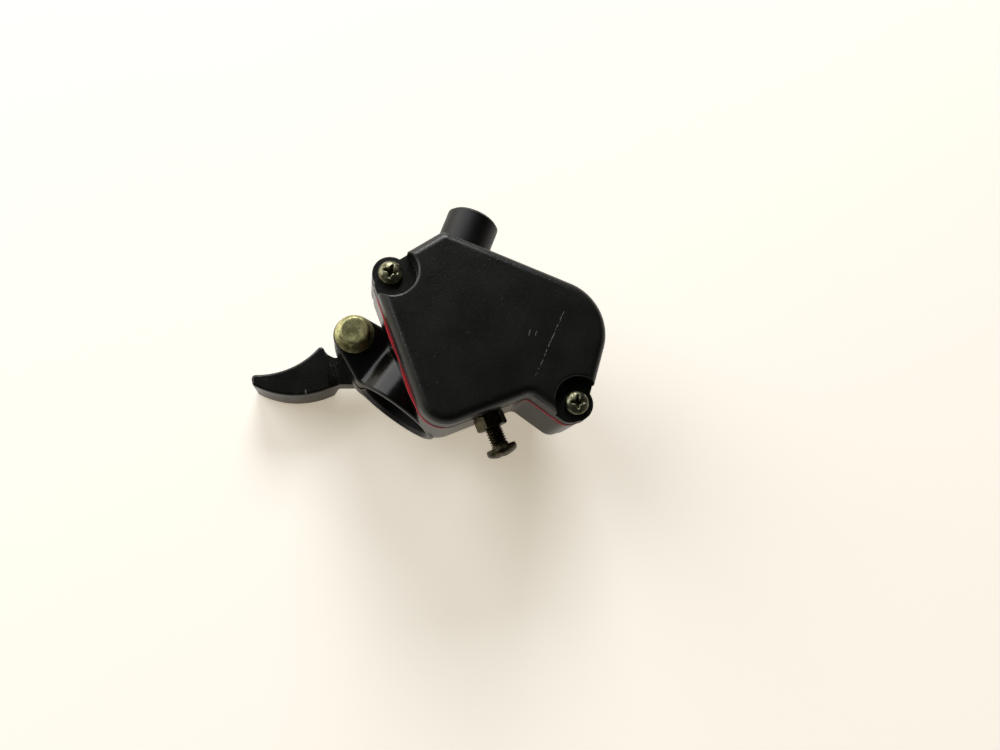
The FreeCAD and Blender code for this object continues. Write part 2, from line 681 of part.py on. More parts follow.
def neck_line():
    """Neck of the lever: its middle, the way the lever runs there and the way across it."""
    neck = FreeCAD.Vector(NECK_X, NECK_Y, 0)
    run = (neck - SPINDLE).normalize()
    return neck, run, UP.cross(run)


def neck_wedge(flat, proud, ramp):
    """Sloping cut that leads from the flat arm to the taller paddle."""
    neck, run, side = neck_line()
    over = 0.2 * (proud - flat)
    profile = [
        at(neck, flat) - run * PADDLE_EDGE,
        at(neck, flat) + run * PADDLE_EDGE,
        at(neck, proud) + run * (PADDLE_EDGE + ramp),
        at(neck, proud + over) + run * (PADDLE_EDGE + ramp),
        at(neck, proud + over) - run * PADDLE_EDGE,
    ]
    profile = [point - side * NECK_WIDTH for point in profile]
    return Part.Face(Part.makePolygon(profile + profile[:1])).extrude(side * 2 * NECK_WIDTH)


def paddle_corners():
    """Corners of the paddle: back and front of the neck, heel, and the two tip corners."""
    neck, _, side = neck_line()
    back = neck - side * (NECK_WIDTH / 2)
    front = neck + side * (NECK_WIDTH / 2)
    heel = back + heading(HEEL_HEADING) * HEEL_LENGTH
    tip_rear = heel + heading(PADDLE_HEADING) * PADDLE_LENGTH
    tip_front = tip_rear + heading(TIP_HEADING) * PADDLE_TIP_WIDTH
    return back, front, heel, tip_rear, tip_front


def rounded_corner(edge):
    """True for the upright edges at the heel and the two tip corners."""
    _, _, heel, tip_rear, tip_front = paddle_corners()
    ends = [at(vertex.Point, 0) for vertex in edge.Vertexes]
    return any(all((end - corner).Length < 1e-3 for end in ends) for corner in (heel, tip_rear, tip_front))


def paddle_face(z):
    """Plan of the paddle: hollow thumb side, bellied front, and a hooked heel behind the neck."""
    back, front, heel, tip_rear, tip_front = paddle_corners()
    hollow = (heel + tip_rear) * 0.5 + heading(PADDLE_HEADING + 90) * PADDLE_HOLLOW
    notch = (heel + back) * 0.5 + heading(HEEL_HEADING + 90) * HEEL_HOLLOW
    belly = (tip_front + front) * 0.5 + UP.cross((front - tip_front).normalize()) * -PADDLE_BELLY
    edges = [
        Part.Arc(at(heel, z), at(hollow, z), at(tip_rear, z)).toShape(),
        Part.LineSegment(at(tip_rear, z), at(tip_front, z)).toShape(),
        Part.Arc(at(tip_front, z), at(belly, z), at(front, z)).toShape(),
        Part.LineSegment(at(front, z), at(back, z)).toShape(),
        Part.Arc(at(back, z), at(notch, z), at(heel, z)).toShape(),
    ]
    return Part.Face(Part.Wire(edges))


def lever_spindle():
    """Stepped shaft: riveted head under the lever, journal, flats for the arm and thread."""
    head = upright(RIVET_HEAD_R, SPINDLE, LEVER_BOTTOM - RIVET_HEAD, LEVER_BOTTOM)
    head = head.makeFillet(RIVET_HEAD * 0.6, edges_at(head, LEVER_BOTTOM - RIVET_HEAD))
    journal = upright(SPINDLE_R, SPINDLE, LEVER_BOTTOM, ARM_BOTTOM)
    key = upright(SPINDLE_R, SPINDLE, ARM_BOTTOM, ARM_TOP).common(flats_block(FLATS, ARM_BOTTOM, ARM_TOP))
    top = ARM_TOP + TAB_WASHER + ARM_NUT_HEIGHT + 0.8
    thread = upright(THREAD_R, SPINDLE, ARM_TOP, top)
    return join(head, journal, key, thread)


def flats_block(width, low, high):
    """Slab along the arm that leaves two flats on the spindle."""
    along = heading(ARM_REST_HEADING)
    across = heading(ARM_REST_HEADING + 90)
    reach = 2 * SPINDLE_R
    corners = [
        SPINDLE + along * a * reach + across * b * (width / 2) for a, b in ((1, 1), (-1, 1), (-1, -1), (1, -1))
    ]
    flat = Part.Face(Part.makePolygon([at(p, low) for p in corners + corners[:1]]))
    return flat.extrude(UP * (high - low))


def throttle_arm():
    """Plate arm keyed to the spindle, with the cable nipple's seat at its tip."""
    direction = ARM_REST_HEADING
    along, across = heading(direction), heading(direction + 90)
    tip = SPINDLE + along * ARM_LENGTH
    corners = [
        SPINDLE + across * ARM_HALF_WIDTH,
        SPINDLE - across * ARM_HALF_WIDTH,
        tip - across * ARM_HALF_WIDTH,
        tip + across * ARM_HALF_WIDTH,
    ]
    bar = Part.Face(Part.makePolygon([at(p, ARM_BOTTOM) for p in corners + corners[:1]])).extrude(UP * ARM_THICKNESS)
    plate = join(bar, upright(ARM_HUB_R, SPINDLE, ARM_BOTTOM, ARM_TOP), upright(ARM_TIP_R, tip, ARM_BOTTOM, ARM_TOP))
    bore = upright(SPINDLE_R + SEAT_FIT, SPINDLE, ARM_BOTTOM, ARM_TOP)
    plate = plate.cut(bore.common(flats_block(FLATS + 2 * SEAT_FIT, ARM_BOTTOM, ARM_TOP)))
    plate = plate.cut(upright(NIPPLE_HOLE_R, tip, ARM_BOTTOM, ARM_TOP))
    _, outward = cable_line()
    width = UP.cross(outward) * (CABLE_SLOT / 2)
    slot = [tip + width, tip - width, tip - width + outward * 2 * ARM_TIP_R, tip + width + outward * 2 * ARM_TIP_R]
    slot_face = Part.Face(Part.makePolygon([at(p, ARM_BOTTOM) for p in slot + slot[:1]]))
    plate = plate.cut(slot_face.extrude(UP * ARM_THICKNESS))
    hook = SPINDLE + along * SPRING_HOLE_REACH
    return plate.cut(upright(SPRING_WIRE_R + HOLE_FIT, hook, ARM_BOTTOM, ARM_TOP))


def return_spring():
    """Torsion spring round the collar: lower leg on its post, upper leg bent up into the arm."""
    swing = math.degrees(math.acos(SPRING_R / SPRING_HOLE_REACH))
    finish = ARM_REST_HEADING - swing
    low = TUBE_TOP + BUSH_FLANGE + SPRING_WIRE_R + SPRING_GAP
    top_limit = ARM_BOTTOM - ARM_WASHER - SPRING_WIRE_R - SPRING_GAP
    turns = (finish - SPRING_START) % 360 / 360
    while (turns + 1) * SPRING_PITCH <= top_limit - low:
        turns += 1
    climb = math.atan2(SPRING_PITCH, 2 * math.pi * SPRING_R)
    pieces = math.ceil(turns * SPRING_PIECES)
    coil = []
    for index in range(pieces):
        angle = SPRING_START + 360 * turns * index / pieces
        coil.append(coil_piece(angle, low + turns * SPRING_PITCH * index / pieces, turns / pieces, climb))

    start = at(SPINDLE + heading(SPRING_START) * SPRING_R, low)
    down_leg = right_of(SPRING_START) * math.cos(climb) - UP * math.sin(climb)
    lower_leg = cylinder(SPRING_WIRE_R, start, down_leg, SPRING_LEG)

    end = at(SPINDLE + heading(finish) * SPRING_R, low + turns * SPRING_PITCH)
    tangent = heading(finish + 90)
    up_leg = tangent * math.cos(climb) + UP * math.sin(climb)
    towards_up = UP * math.cos(climb) - tangent * math.sin(climb)
    bend = math.pi / 2 - climb
    setback = SPRING_BEND_R * math.tan(bend / 2)
    straight = SPRING_HOLE_REACH * math.sin(math.radians(swing)) / math.cos(climb) - setback
    bend_start = end + up_leg * straight
    bend_end = end + up_leg * (straight + setback) + UP * setback
    upper_leg = cylinder(SPRING_WIRE_R, end, up_leg, straight)
    disc = Part.Face(Part.Wire(Part.makeCircle(SPRING_WIRE_R, bend_start, up_leg)))
    elbow = disc.revolve(bend_start + towards_up * SPRING_BEND_R, up_leg.cross(towards_up), math.degrees(bend))
    pin = upright(SPRING_WIRE_R, bend_end, bend_end.z, ARM_MIDDLE + 0.8)
    return join(coil[0], *coil[1:], lower_leg, upper_leg, elbow, pin)


def coil_piece(angle, low, turns, climb):
    """Part of the spring's coil from an angle and a height, swept on a helix."""
    helix = Part.makeHelix(SPRING_PITCH, turns * SPRING_PITCH, SPRING_R)
    helix.rotate(ORIGIN, UP, angle)
    helix.translate(at(SPINDLE, low))
    start = at(SPINDLE + heading(angle) * SPRING_R, low)
    along = heading(angle + 90) * math.cos(climb) + UP * math.sin(climb)
    section = Part.Wire(Part.makeCircle(SPRING_WIRE_R, start, along))
    return Part.Wire(helix.Edges).makePipeShell([section], True, True)


def spindle_stack():
    """The round pieces threaded on the spindle, from the lever up to the nut."""
    running = SPINDLE_R + RUNNING_FIT
    seal_low = TUBE_BOTTOM + 0.1
    bush_low = TUBE_BOTTOM + SEAL_LENGTH + 0.1
    collar_top = ARM_BOTTOM - ARM_WASHER
    upper_bush = join(
        tube(BUSH_R, running, at(SPINDLE, TUBE_TOP - UPPER_BUSH_LENGTH), UP, UPPER_BUSH_LENGTH + BUSH_FLANGE),
        tube(BUSH_FLANGE_R, running, at(SPINDLE, TUBE_TOP), UP, BUSH_FLANGE),
    )
    collar_low = TUBE_TOP + BUSH_FLANGE
    washer_r = SPRING_R + SPRING_WIRE_R
    nut = hex_nut(ARM_NUT_FLATS, ARM_NUT_HEIGHT, THREAD_R + THREAD_FIT)
    nut.translate(at(SPINDLE, ARM_TOP + TAB_WASHER))
    return {
        "thrust_washer": tube(THRUST_WASHER_R, running, at(SPINDLE, LEVER_TOP), UP, THRUST_WASHER),
        "spindle_seal": tube(SEAL_R, running, at(SPINDLE, seal_low), UP, SEAL_LENGTH),
        "lower_bush": tube(BUSH_R, running, at(SPINDLE, bush_low), UP, LOWER_BUSH_LENGTH),
        "upper_bush": upper_bush,
        "spring_collar": tube(SPINDLE_R + COLLAR_WALL, running, at(SPINDLE, collar_low), UP, collar_top - collar_low),
        "arm_washer": tube(washer_r, running, at(SPINDLE, collar_top), UP, ARM_WASHER),
        "tab_washer": tube(TAB_WASHER_R, THREAD_R + THREAD_FIT, at(SPINDLE, ARM_TOP), UP, TAB_WASHER),
        "arm_nut": nut,
    }


def cover_screw(screw, turn):
    """Pan-head screw seated on the cover's flange."""
    body = pan_screw(COVER_SCREW_R, COVER_SCREW_LENGTH, COVER_HEAD_R, COVER_HEAD)
    return placed(body, at(screw, FLANGE_TOP), UP, turn)


def main():
    """Build every piece and write one STEP file for each."""
    nodes = {
        "housing_body": housing_body(),
        "top_cover": top_cover(),
        "cover_gasket": cover_gasket(),
        "cover_screw_rear": cover_screw(REAR_SCREW, REAR_SCREW_TURN),
        "cover_screw_front": cover_screw(FRONT_SCREW, FRONT_SCREW_TURN),
        "clamp_bolt": clamp_bolt(),
        "limiter_screw": limiter_screw(),
        "limiter_lock_nut": limiter_lock_nut(),
        "thumb_lever": thumb_lever(),
        "lever_spindle": lever_spindle(),
        "throttle_arm": throttle_arm(),
        "return_spring": return_spring(),
    }
    nodes.update(spindle_stack())
    os.makedirs("parts", exist_ok=True)
    for name, shape in nodes.items():
        solids = shape.Solids
        print(name, "solids", len(solids), "valid", shape.isValid(), "volume", round(shape.Volume, 1))
        whole = solids[0] if len(solids) == 1 else Part.makeCompound(solids)
        whole.exportStep(f"parts/{name}.step")


main()
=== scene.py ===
import logging
import math
from dataclasses import dataclass, field
from enum import Enum
from typing import Any, Optional, Sequence, Union

import bmesh
import bpy
from mathutils import Matrix, Vector


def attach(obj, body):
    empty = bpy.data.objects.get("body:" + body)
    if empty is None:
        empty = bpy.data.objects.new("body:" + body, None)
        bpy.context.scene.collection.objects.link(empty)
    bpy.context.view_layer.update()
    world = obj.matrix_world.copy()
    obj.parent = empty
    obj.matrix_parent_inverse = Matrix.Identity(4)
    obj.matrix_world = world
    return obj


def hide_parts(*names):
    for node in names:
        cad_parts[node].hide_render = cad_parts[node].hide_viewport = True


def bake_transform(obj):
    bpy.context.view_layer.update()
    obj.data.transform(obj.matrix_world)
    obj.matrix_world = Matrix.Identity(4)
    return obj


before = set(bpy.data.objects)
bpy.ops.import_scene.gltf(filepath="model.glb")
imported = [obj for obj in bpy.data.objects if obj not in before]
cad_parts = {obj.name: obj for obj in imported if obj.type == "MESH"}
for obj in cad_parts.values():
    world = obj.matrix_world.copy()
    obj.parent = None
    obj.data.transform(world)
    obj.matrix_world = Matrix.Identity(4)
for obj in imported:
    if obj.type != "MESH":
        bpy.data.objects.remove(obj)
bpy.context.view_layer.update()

LOG = logging.getLogger("thumb_throttle")
MM = 0.001
WELD = 1e-4
THREAD_STEPS = 24
Colour = tuple[float, float, float]
Number = Union[int, float]


class Reading:
    """A shader socket that takes part in ordinary arithmetic."""

    def __init__(self, bench: "Sheet", socket: bpy.types.NodeSocket) -> None:
        """Keep the socket and the node sheet that it belongs to."""
        self.bench = bench
        self.socket = socket

    def _maths(self, operation: str, *values: Any) -> "Reading":
        """Add one Math node.

        Args:
            operation: the Math node's operation.
            values: its inputs in order, as readings or numbers.

        Returns:
            The node's result as a reading.
        """
        inputs = dict(enumerate(values))
        return self.bench.node("ShaderNodeMath", {"operation": operation}, inputs)

    def __add__(self, other: Any) -> "Reading":
        """Sum with a reading or a number."""
        return self._maths("ADD", self, other)

    def __radd__(self, other: Any) -> "Reading":
        """Sum with a number on the left."""
        return self._maths("ADD", other, self)

    def __sub__(self, other: Any) -> "Reading":
        """Difference from a reading or a number."""
        return self._maths("SUBTRACT", self, other)

    def __rsub__(self, other: Any) -> "Reading":
        """Difference of a number and this reading."""
        return self._maths("SUBTRACT", other, self)

    def __mul__(self, other: Any) -> "Reading":
        """Product with a reading or a number."""
        return self._maths("MULTIPLY", self, other)

    def __rmul__(self, other: Any) -> "Reading":
        """Product with a number on the left."""
        return self._maths("MULTIPLY", other, self)

    def __pow__(self, other: Any) -> "Reading":
        """Power of this reading."""
        return self._maths("POWER", self, other)

    def __abs__(self) -> "Reading":
        """Size without its sign."""
        return self._maths("ABSOLUTE", self)

    def over(self, edge: float, softness: float) -> "Reading":
        """Mask that rises from 0 to 1 as the reading passes an edge.

        Args:
            edge: the value at the middle of the rise.
            softness: how wide the rise is.

        Returns:
            The mask, from 0 to 1.
        """
        settings = {"clamp": True, "interpolation_type": "SMOOTHSTEP"}
        inputs = {"Value": self, "From Min": edge - softness / 2, "From Max": edge + softness / 2}
        return self.bench.node("ShaderNodeMapRange", settings, inputs)

    def under(self, edge: float, softness: float) -> "Reading":
        """Mask that falls from 1 to 0 as the reading passes an edge."""
        return 1 - self.over(edge, softness)


class Sheet:
    """A node tree that is filled by expressions."""

    def __init__(self, tree: bpy.types.NodeTree) -> None:
        """Empty the tree and keep it."""
        self.tree = tree
        self.tree.nodes.clear()

    def node(
        self,
        kind: str,
        settings: dict[str, Any],
        inputs: dict[Union[int, str], Any],
        output: Union[int, str, None] = 0,
    ) -> Optional[Reading]:
        """Add any node.

        Args:
            kind: the node's type.
            settings: its properties, set before its sockets; "stops" fills a colour ramp.
            inputs: values or readings by socket name or number.
            output: which output to return, or None for a node that has none.

        Returns:
            The chosen output as a reading.
        """
        made = self.tree.nodes.new(kind)
        for key, value in settings.items():
            if key == "stops":
                self._fill_ramp(made.color_ramp, value)
            else:
                setattr(made, key, value)
        for key, value in inputs.items():
            self.feed(made.inputs[key], value)
        return None if output is None else Reading(self, made.outputs[output])

    def feed(self, socket: bpy.types.NodeSocket, value: Any) -> None:
        """Link a reading to a socket, or set a plain value on it."""
        if isinstance(value, Reading):
            self.tree.links.new(value.socket, socket)
        else:
            socket.default_value = value

    @staticmethod
    def _fill_ramp(ramp: bpy.types.ColorRamp, stops: Sequence[tuple[float, Colour]]) -> None:
        """Give a ramp its stops, each a position and a colour."""
        while len(ramp.elements) < len(stops):
            ramp.elements.new(0.5)
        for element, (position, colour) in zip(ramp.elements, stops):
            element.position = position
            element.color = (*colour, 1.0)

    def blend(self, mask: Any, below: Any, above: Any) -> Reading:
        """Mix two colours by a mask.

        Args:
            mask: 0 gives the first colour and 1 the second.
            below: the first colour, plain or a reading.
            above: the second colour, plain or a reading.

        Returns:
            The mixed colour.
        """
        made = self.tree.nodes.new("ShaderNodeMix")
        made.data_type = "RGBA"
        self.feed(made.inputs[0], mask)
        for slot, value in ((6, below), (7, above)):
            self.feed(made.inputs[slot], (*value, 1.0) if isinstance(value, tuple) else value)
        return Reading(self, made.outputs[2])


class Bench(Sheet):
    """The node sheet of one material, with its Principled shader."""

    def __init__(self, name: str) -> None:
        """Start an empty material of this name."""
        self.material = bpy.data.materials.new(name)
        self.material.use_nodes = True
        super().__init__(self.material.node_tree)
        self.shader = self.tree.nodes.new("ShaderNodeBsdfPrincipled")
        self.out = self.tree.nodes.new("ShaderNodeOutputMaterial")
        self.tree.links.new(self.shader.outputs[0], self.out.inputs["Surface"])
        self.place = self.node("ShaderNodeTexCoord", {}, {}, "Object")

    def noise(self, size_mm: float, detail: float = 3.0, rough: float = 0.55) -> Reading:
        """Soft noise whose lumps are about this many millimetres across."""
        scale = 1 / (size_mm * MM)
        inputs = {"Vector": self.place, "Scale": scale, "Detail": detail, "Roughness": rough}
        return self.node("ShaderNodeTexNoise", {}, inputs)

    def cells(self, size_mm: float) -> Reading:
        """Distance to the nearest of a scatter of points, in cells of this size."""
        inputs = {"Vector": self.place, "Scale": 1 / (size_mm * MM)}
        return self.node("ShaderNodeTexVoronoi", {}, inputs, "Distance")

    def axis(self, name: str) -> Reading:
        """One coordinate of the surface point, in metres."""
        return self.node("ShaderNodeSeparateXYZ", {}, {0: self.place}, name)

    def facing(self, name: str) -> Reading:
        """One coordinate of the object's own surface normal."""
        normal = self.node("ShaderNodeTexCoord", {}, {}, "Normal")
        return self.node("ShaderNodeSeparateXYZ", {}, {0: normal}, name)

    def scratch(self, line: "Scratch") -> Reading:
        """Mask of a thin, wavering and broken line on the surfaces that face up."""
        (x0, y0), (x1, y1) = line.start, line.end
        length = math.hypot(x1 - x0, y1 - y0)
        run = ((x1 - x0) / length, (y1 - y0) / length)
        east = self.axis("X") - x0 * MM
        north = self.axis("Y") - y0 * MM
        along = east * run[0] + north * run[1]
        across = north * run[0] - east * run[1]
        waver = (self.noise(line.bend, 2.0) - 0.5) * (line.waver * MM)
        band = abs(across + waver).under(line.width / 2 * MM, line.width * 0.6 * MM)
        ends = along.over(0.0, line.taper * MM) * along.under(length * MM, line.taper * MM)
        dashes = self.noise(line.dash, 2.0, 0.7).over(line.gaps, 0.12)
        upward = self.facing("Z").over(line.least_slope, 0.2)
        return band * ends * upward * dashes

    def relief(
        self, height: Reading, depth_mm: float, strength: float = 1.0, edge_mm: float = 0.0
    ) -> Reading:
        """Bump from a height field, over edges that look rounded.

        Args:
            height: the height field, from 0 to 1.
            depth_mm: the depth of a full step.
            strength: how much of the bump is used.
            edge_mm: the radius at which sharp edges are made to look rounded, or 0.

        Returns:
            The normal.
        """
        inputs: dict[Union[int, str], Any] = {"Height": height, "Strength": strength}
        inputs["Distance"] = depth_mm * MM
        if edge_mm > 0:
            inputs["Normal"] = self.node("ShaderNodeBevel", {"samples": 4}, {"Radius": edge_mm * MM})
        return self.node("ShaderNodeBump", {}, inputs)

    def finish(self, **sockets: Any) -> bpy.types.Material:
        """Feed the Principled shader.

        Args:
            sockets: values by socket name, with underscores for spaces.

        Returns:
            The finished material.
        """
        for name, value in sockets.items():
            if isinstance(value, tuple):
                value = (*value, 1.0)
            self.feed(self.shader.inputs[name.replace("_", " ")], value)
        return self.material


@dataclass(frozen=True)
class Scratch:
    """A thin mark in plan, in millimetres: it wavers, breaks into dashes and tapers off at its ends."""

    start: tuple[float, float]
    end: tuple[float, float]
    width: float = 0.22
    waver: float = 0.7
    dash: float = 1.1
    gaps: float = 0.50
    light: float = 0.55
    bend: float = 3.0
    taper: float = 0.5
    least_slope: float = 0.25


@dataclass(frozen=True)
class CastPaint:
    """Black paint over a die casting: fine orange peel, pores, dust specks and marks of handling. Inside
    the handlebar bore it is duller, and its colour is darkened as painted shade.
    """

    name: str
    colour: Colour
    worn: Colour
    roughness: float
    pore_mm: float = 0.55
    pore_depth_mm: float = 0.05
    edge_mm: float = 0.35
    specks: float = 0.5
    marks: tuple[Scratch, ...] = ()
    specular: float = 0.5
    cloud_mm: float = 9.0
    dust_mm: float = 2.3
    dust_patch_mm: float = 6.0
    duller_beyond: tuple[float, float, float] = (0.0, 0.0, 1000.0)
    duller_by: float = 0.20
    dull_shaded_bore_mm: float = 0.0
    bore_duller_by: float = 0.5
    # near-black colour painted inside the bore as its shade
    bore_painted_shade: Colour = (0.0008, 0.0008, 0.0007)

    def material(self) -> bpy.types.Material:
        """Build the material."""
        bench = Bench(self.name)
        clouds = bench.noise(self.cloud_mm, 2.0)
        fine = bench.noise(self.pore_mm, 3.0, 0.6)
        pits = bench.cells(self.pore_mm * 2.2).under(0.20, 0.14)
        dust = bench.cells(self.dust_mm).under(0.05, 0.03)
        dust = dust * bench.noise(self.dust_patch_mm).over(0.52, 0.08)
        faded = tuple(part * 1.3 + 0.0006 for part in self.colour)
        tone = bench.blend(clouds.over(0.5, 0.4), self.colour, faded)
        tone = bench.blend(dust * self.specks, tone, self.worn)
        rough = self.roughness + (clouds - 0.5) * 0.10 + (fine - 0.5) * 0.14
        rough = rough + self.beyond(bench) * self.duller_by
        # Inside the bore the paint is rougher, and its colour is mixed towards a near-black painted
        # shade of the recess.
        if self.dull_shaded_bore_mm > 0:
            bore = self.bore(bench)
            rough = rough + bore * self.bore_duller_by
            tone = bench.blend(bore, tone, self.bore_painted_shade)
        depth = 1 - pits * 0.6
        for mark in self.marks:
            line = bench.scratch(mark)
            tone = bench.blend(line * mark.light, tone, self.worn)
            rough = rough + line * 0.25
            depth = depth - line * 0.4
        normal = bench.relief(fine * 0.45 + depth * 0.5, self.pore_depth_mm, 1.0, self.edge_mm)
        return bench.finish(
            Base_Color=tone,
            Roughness=rough,
            Metallic=0.0,
            Specular_IOR_Level=self.specular,
            Normal=normal,
        )

    def beyond(self, bench: Bench) -> Reading:
        """Mask of what lies past a line in plan, which is given by its direction and its distance."""
        east, north, limit = self.duller_beyond
        return (bench.axis("X") * east + bench.axis("Y") * north).over(limit * MM, 0.3 * MM)

    def bore(self, bench: Bench) -> Reading:
        """Mask of what lies inside a radius about the handlebar's axis, where the paint is duller and
        painted darker as shade of the bore.
        """
        reach = (bench.axis("Y") ** 2 + bench.axis("Z") ** 2) ** 0.5
        return reach.under(self.dull_shaded_bore_mm * MM, 0.2 * MM)


@dataclass(frozen=True)
class PlatedSteel:
    """Zinc-plated or blackened steel with blotches, fine scratches and rubbed high spots."""

    name: str
    colour: Colour
    dark: Colour
    roughness: float
    edge_mm: float = 0.12
    metal: float = 0.85
    blotch_mm: float = 2.0
    grain_mm: float = 0.22
    grime_mm: float = 0.9

    def material(self) -> bpy.types.Material:
        """Build the material."""
        bench = Bench(self.name)
        blotch = bench.noise(self.blotch_mm, 4.0, 0.6)
        grain = bench.noise(self.grain_mm, 2.0)
        grime = bench.noise(self.grime_mm, 4.0, 0.7).over(0.60, 0.10)
        tone = bench.blend(blotch.over(0.48, 0.30), self.dark, self.colour)
        tone = bench.blend(grime * 0.7, tone, tuple(part * 0.35 for part in self.dark))
        rough = self.roughness + (blotch - 0.5) * 0.25 + (grain - 0.5) * 0.15 + grime * 0.15
        normal = bench.relief(grain * 0.5 + blotch * 0.5, 0.04, 1.0, self.edge_mm)
        return bench.finish(Base_Color=tone, Roughness=rough, Metallic=self.metal, Normal=normal)


@dataclass(frozen=True)
class TurnedSteel:
    """Bright machined metal with turning rings about the spindle."""

    name: str
    colour: Colour
    roughness: float
    centre: tuple[float, float]
    ring_scale: float = 900.0
    blotch_mm: float = 3.0

    def material(self) -> bpy.types.Material:
        """Build the material."""
        bench = Bench(self.name)
        away = (-self.centre[0], -self.centre[1], 0.0)
        mapping = {"vector_type": "POINT"}
        shifted = bench.node("ShaderNodeMapping", mapping, {"Vector": bench.place, "Location": away})
        settings = {"wave_type": "RINGS", "rings_direction": "Z"}
        inputs = {"Vector": shifted, "Scale": self.ring_scale, "Distortion": 2.0}
        rings = bench.node("ShaderNodeTexWave", settings, inputs, "Fac")
        blotch = bench.noise(self.blotch_mm, 3.0)
        shade = tuple(part * 0.8 for part in self.colour)
        tone = bench.blend(blotch.over(0.5, 0.4), shade, self.colour)
        normal = bench.relief(rings, 0.01, 0.6, 0.12)
        rough = self.roughness + (blotch - 0.5) * 0.2
        return bench.finish(Base_Color=tone, Roughness=rough, Metallic=1.0, Normal=normal)


@dataclass(frozen=True)
class MouldedStuff:
    """Rubber, gasket sheet or nylon: an even colour with a faint grain."""

    name: str
    colour: Colour
    stain: Colour
    roughness: float
    grain_mm: float

    def material(self) -> bpy.types.Material:
        """Build the material."""
        bench = Bench(self.name)
        grain = bench.noise(self.grain_mm, 3.0, 0.65)
        patch = bench.noise(self.grain_mm * 6, 2.0)
        tone = bench.blend(patch.over(0.56, 0.2), self.colour, self.stain)
        rough = self.roughness + (grain - 0.5) * 0.2
        normal = bench.relief(grain, 0.04)
        return bench.finish(Base_Color=tone, Roughness=rough, Metallic=0.0, Normal=normal)


class Riding(Enum):
    """The body that a piece moves with."""

    HOUSING = "housing"
    LEVER = "lever"
    LIMITER = "limiter"


@dataclass
class Stance:
    """Where a turned piece stands: its foot, its axis and its turn about the axis."""

    foot: Vector = field(default_factory=lambda: Vector((0, 0, 0)))
    axis: Vector = field(default_factory=lambda: Vector((0, 0, 1)))
    turn: float = 0.0

    def matrix(self) -> Matrix:
        """Matrix from a piece built about +Z in millimetres to its place in metres."""
        spin = Vector((0, 0, 1)).rotation_difference(self.axis.normalized()).to_matrix().to_4x4()
        return (
            Matrix.Translation(self.foot * MM)
            @ spin
            @ Matrix.Rotation(math.radians(self.turn), 4, "Z")
            @ Matrix.Scale(MM, 4)
        )


def keep_mesh(
    name: str, shape: bmesh.types.BMesh, stance: Stance, smooth_deg: float = 32.0
) -> bpy.types.Object:
    """Turn a finished bmesh into an object at the origin.

    Args:
        name: the piece's name.
        shape: the bmesh, about +Z in millimetres; it is freed.
        stance: where the piece stands.
        smooth_deg: edges sharper than this stay sharp.

    Returns:
        The object, linked into the scene.
    """
    bmesh.ops.remove_doubles(shape, verts=shape.verts, dist=WELD)
    bmesh.ops.recalc_face_normals(shape, faces=shape.faces)
    bmesh.ops.transform(shape, matrix=stance.matrix(), verts=shape.verts)
    for face in shape.faces:
        face.smooth = True
    limit = math.radians(smooth_deg)
    for edge in shape.edges:
        edge.smooth = len(edge.link_faces) == 2 and edge.calc_face_angle(0.0) < limit
    mesh = bpy.data.meshes.new(name)
    shape.to_mesh(mesh)
    shape.free()
    made = bpy.data.objects.new(name, mesh)
    bpy.context.scene.collection.objects.link(made)
    return made


def turned(shape: bmesh.types.BMesh, outline: Sequence[tuple[float, float]], steps: int = 48) -> None:
    """Spin an outline a full turn about +Z.

    Args:
        shape: the bmesh that receives the surface.
        outline: points as radius and height, in millimetres.
        steps: faces round the turn.
    """
    verts = [shape.verts.new((radius, 0.0, height)) for radius, height in outline]
    edges = [shape.edges.new(pair) for pair in zip(verts, verts[1:])]
    bmesh.ops.spin(
        shape,
        geom=verts + edges,
        cent=(0, 0, 0),
        axis=(0, 0, 1),
        angle=2 * math.pi,
        steps=steps,
        use_merge=True,
        use_duplicate=False,
    )
    bmesh.ops.remove_doubles(shape, verts=shape.verts, dist=WELD)


def threaded(
    shape: bmesh.types.BMesh, profile: Sequence[tuple[float, float]], pitch: float, turns: int
) -> None:
    """Wind the profile of one pitch of thread down about +Z.

    Args:
        shape: the bmesh that receives the thread.
        profile: points as radius and height, from one crest to the next.
        pitch: how far one turn goes down, in millimetres.
        turns: whole turns of thread.
    """
    verts = [shape.verts.new((radius, 0.0, height)) for radius, height in profile]
    edges = [shape.edges.new(pair) for pair in zip(verts, verts[1:])]
    bmesh.ops.spin(
        shape,
        geom=verts + edges,
        cent=(0, 0, 0),
        axis=(0, 0, 1),
        dvec=(0, 0, -pitch / THREAD_STEPS),
        angle=2 * math.pi * turns,
        steps=THREAD_STEPS * turns,
        use_merge=False,
        use_duplicate=False,
    )


def evaluated(piece: bpy.types.Object) -> bpy.types.Mesh:
    """A new mesh of the piece with its modifiers applied."""
    graph = bpy.context.evaluated_depsgraph_get()
    return bpy.data.meshes.new_from_object(piece.evaluated_get(graph))


def carve(target: bpy.types.Object, cutter: bpy.types.Object) -> bpy.types.Object:
    """Cut one mesh out of another and drop the cutter.

    Args:
        target: the piece that is cut.
        cutter: a closed mesh.

    Returns:
        The cut piece.
    """
    cut = target.modifiers.new("cut", "BOOLEAN")
    cut.operation = "DIFFERENCE"
    cut.solver = "EXACT"
    cut.object = cutter
    mesh = evaluated(target)
    target.modifiers.clear()
    old = target.data
    target.data = mesh
    bpy.data.meshes.remove(old)
    bpy.data.objects.remove(cutter)
    return target


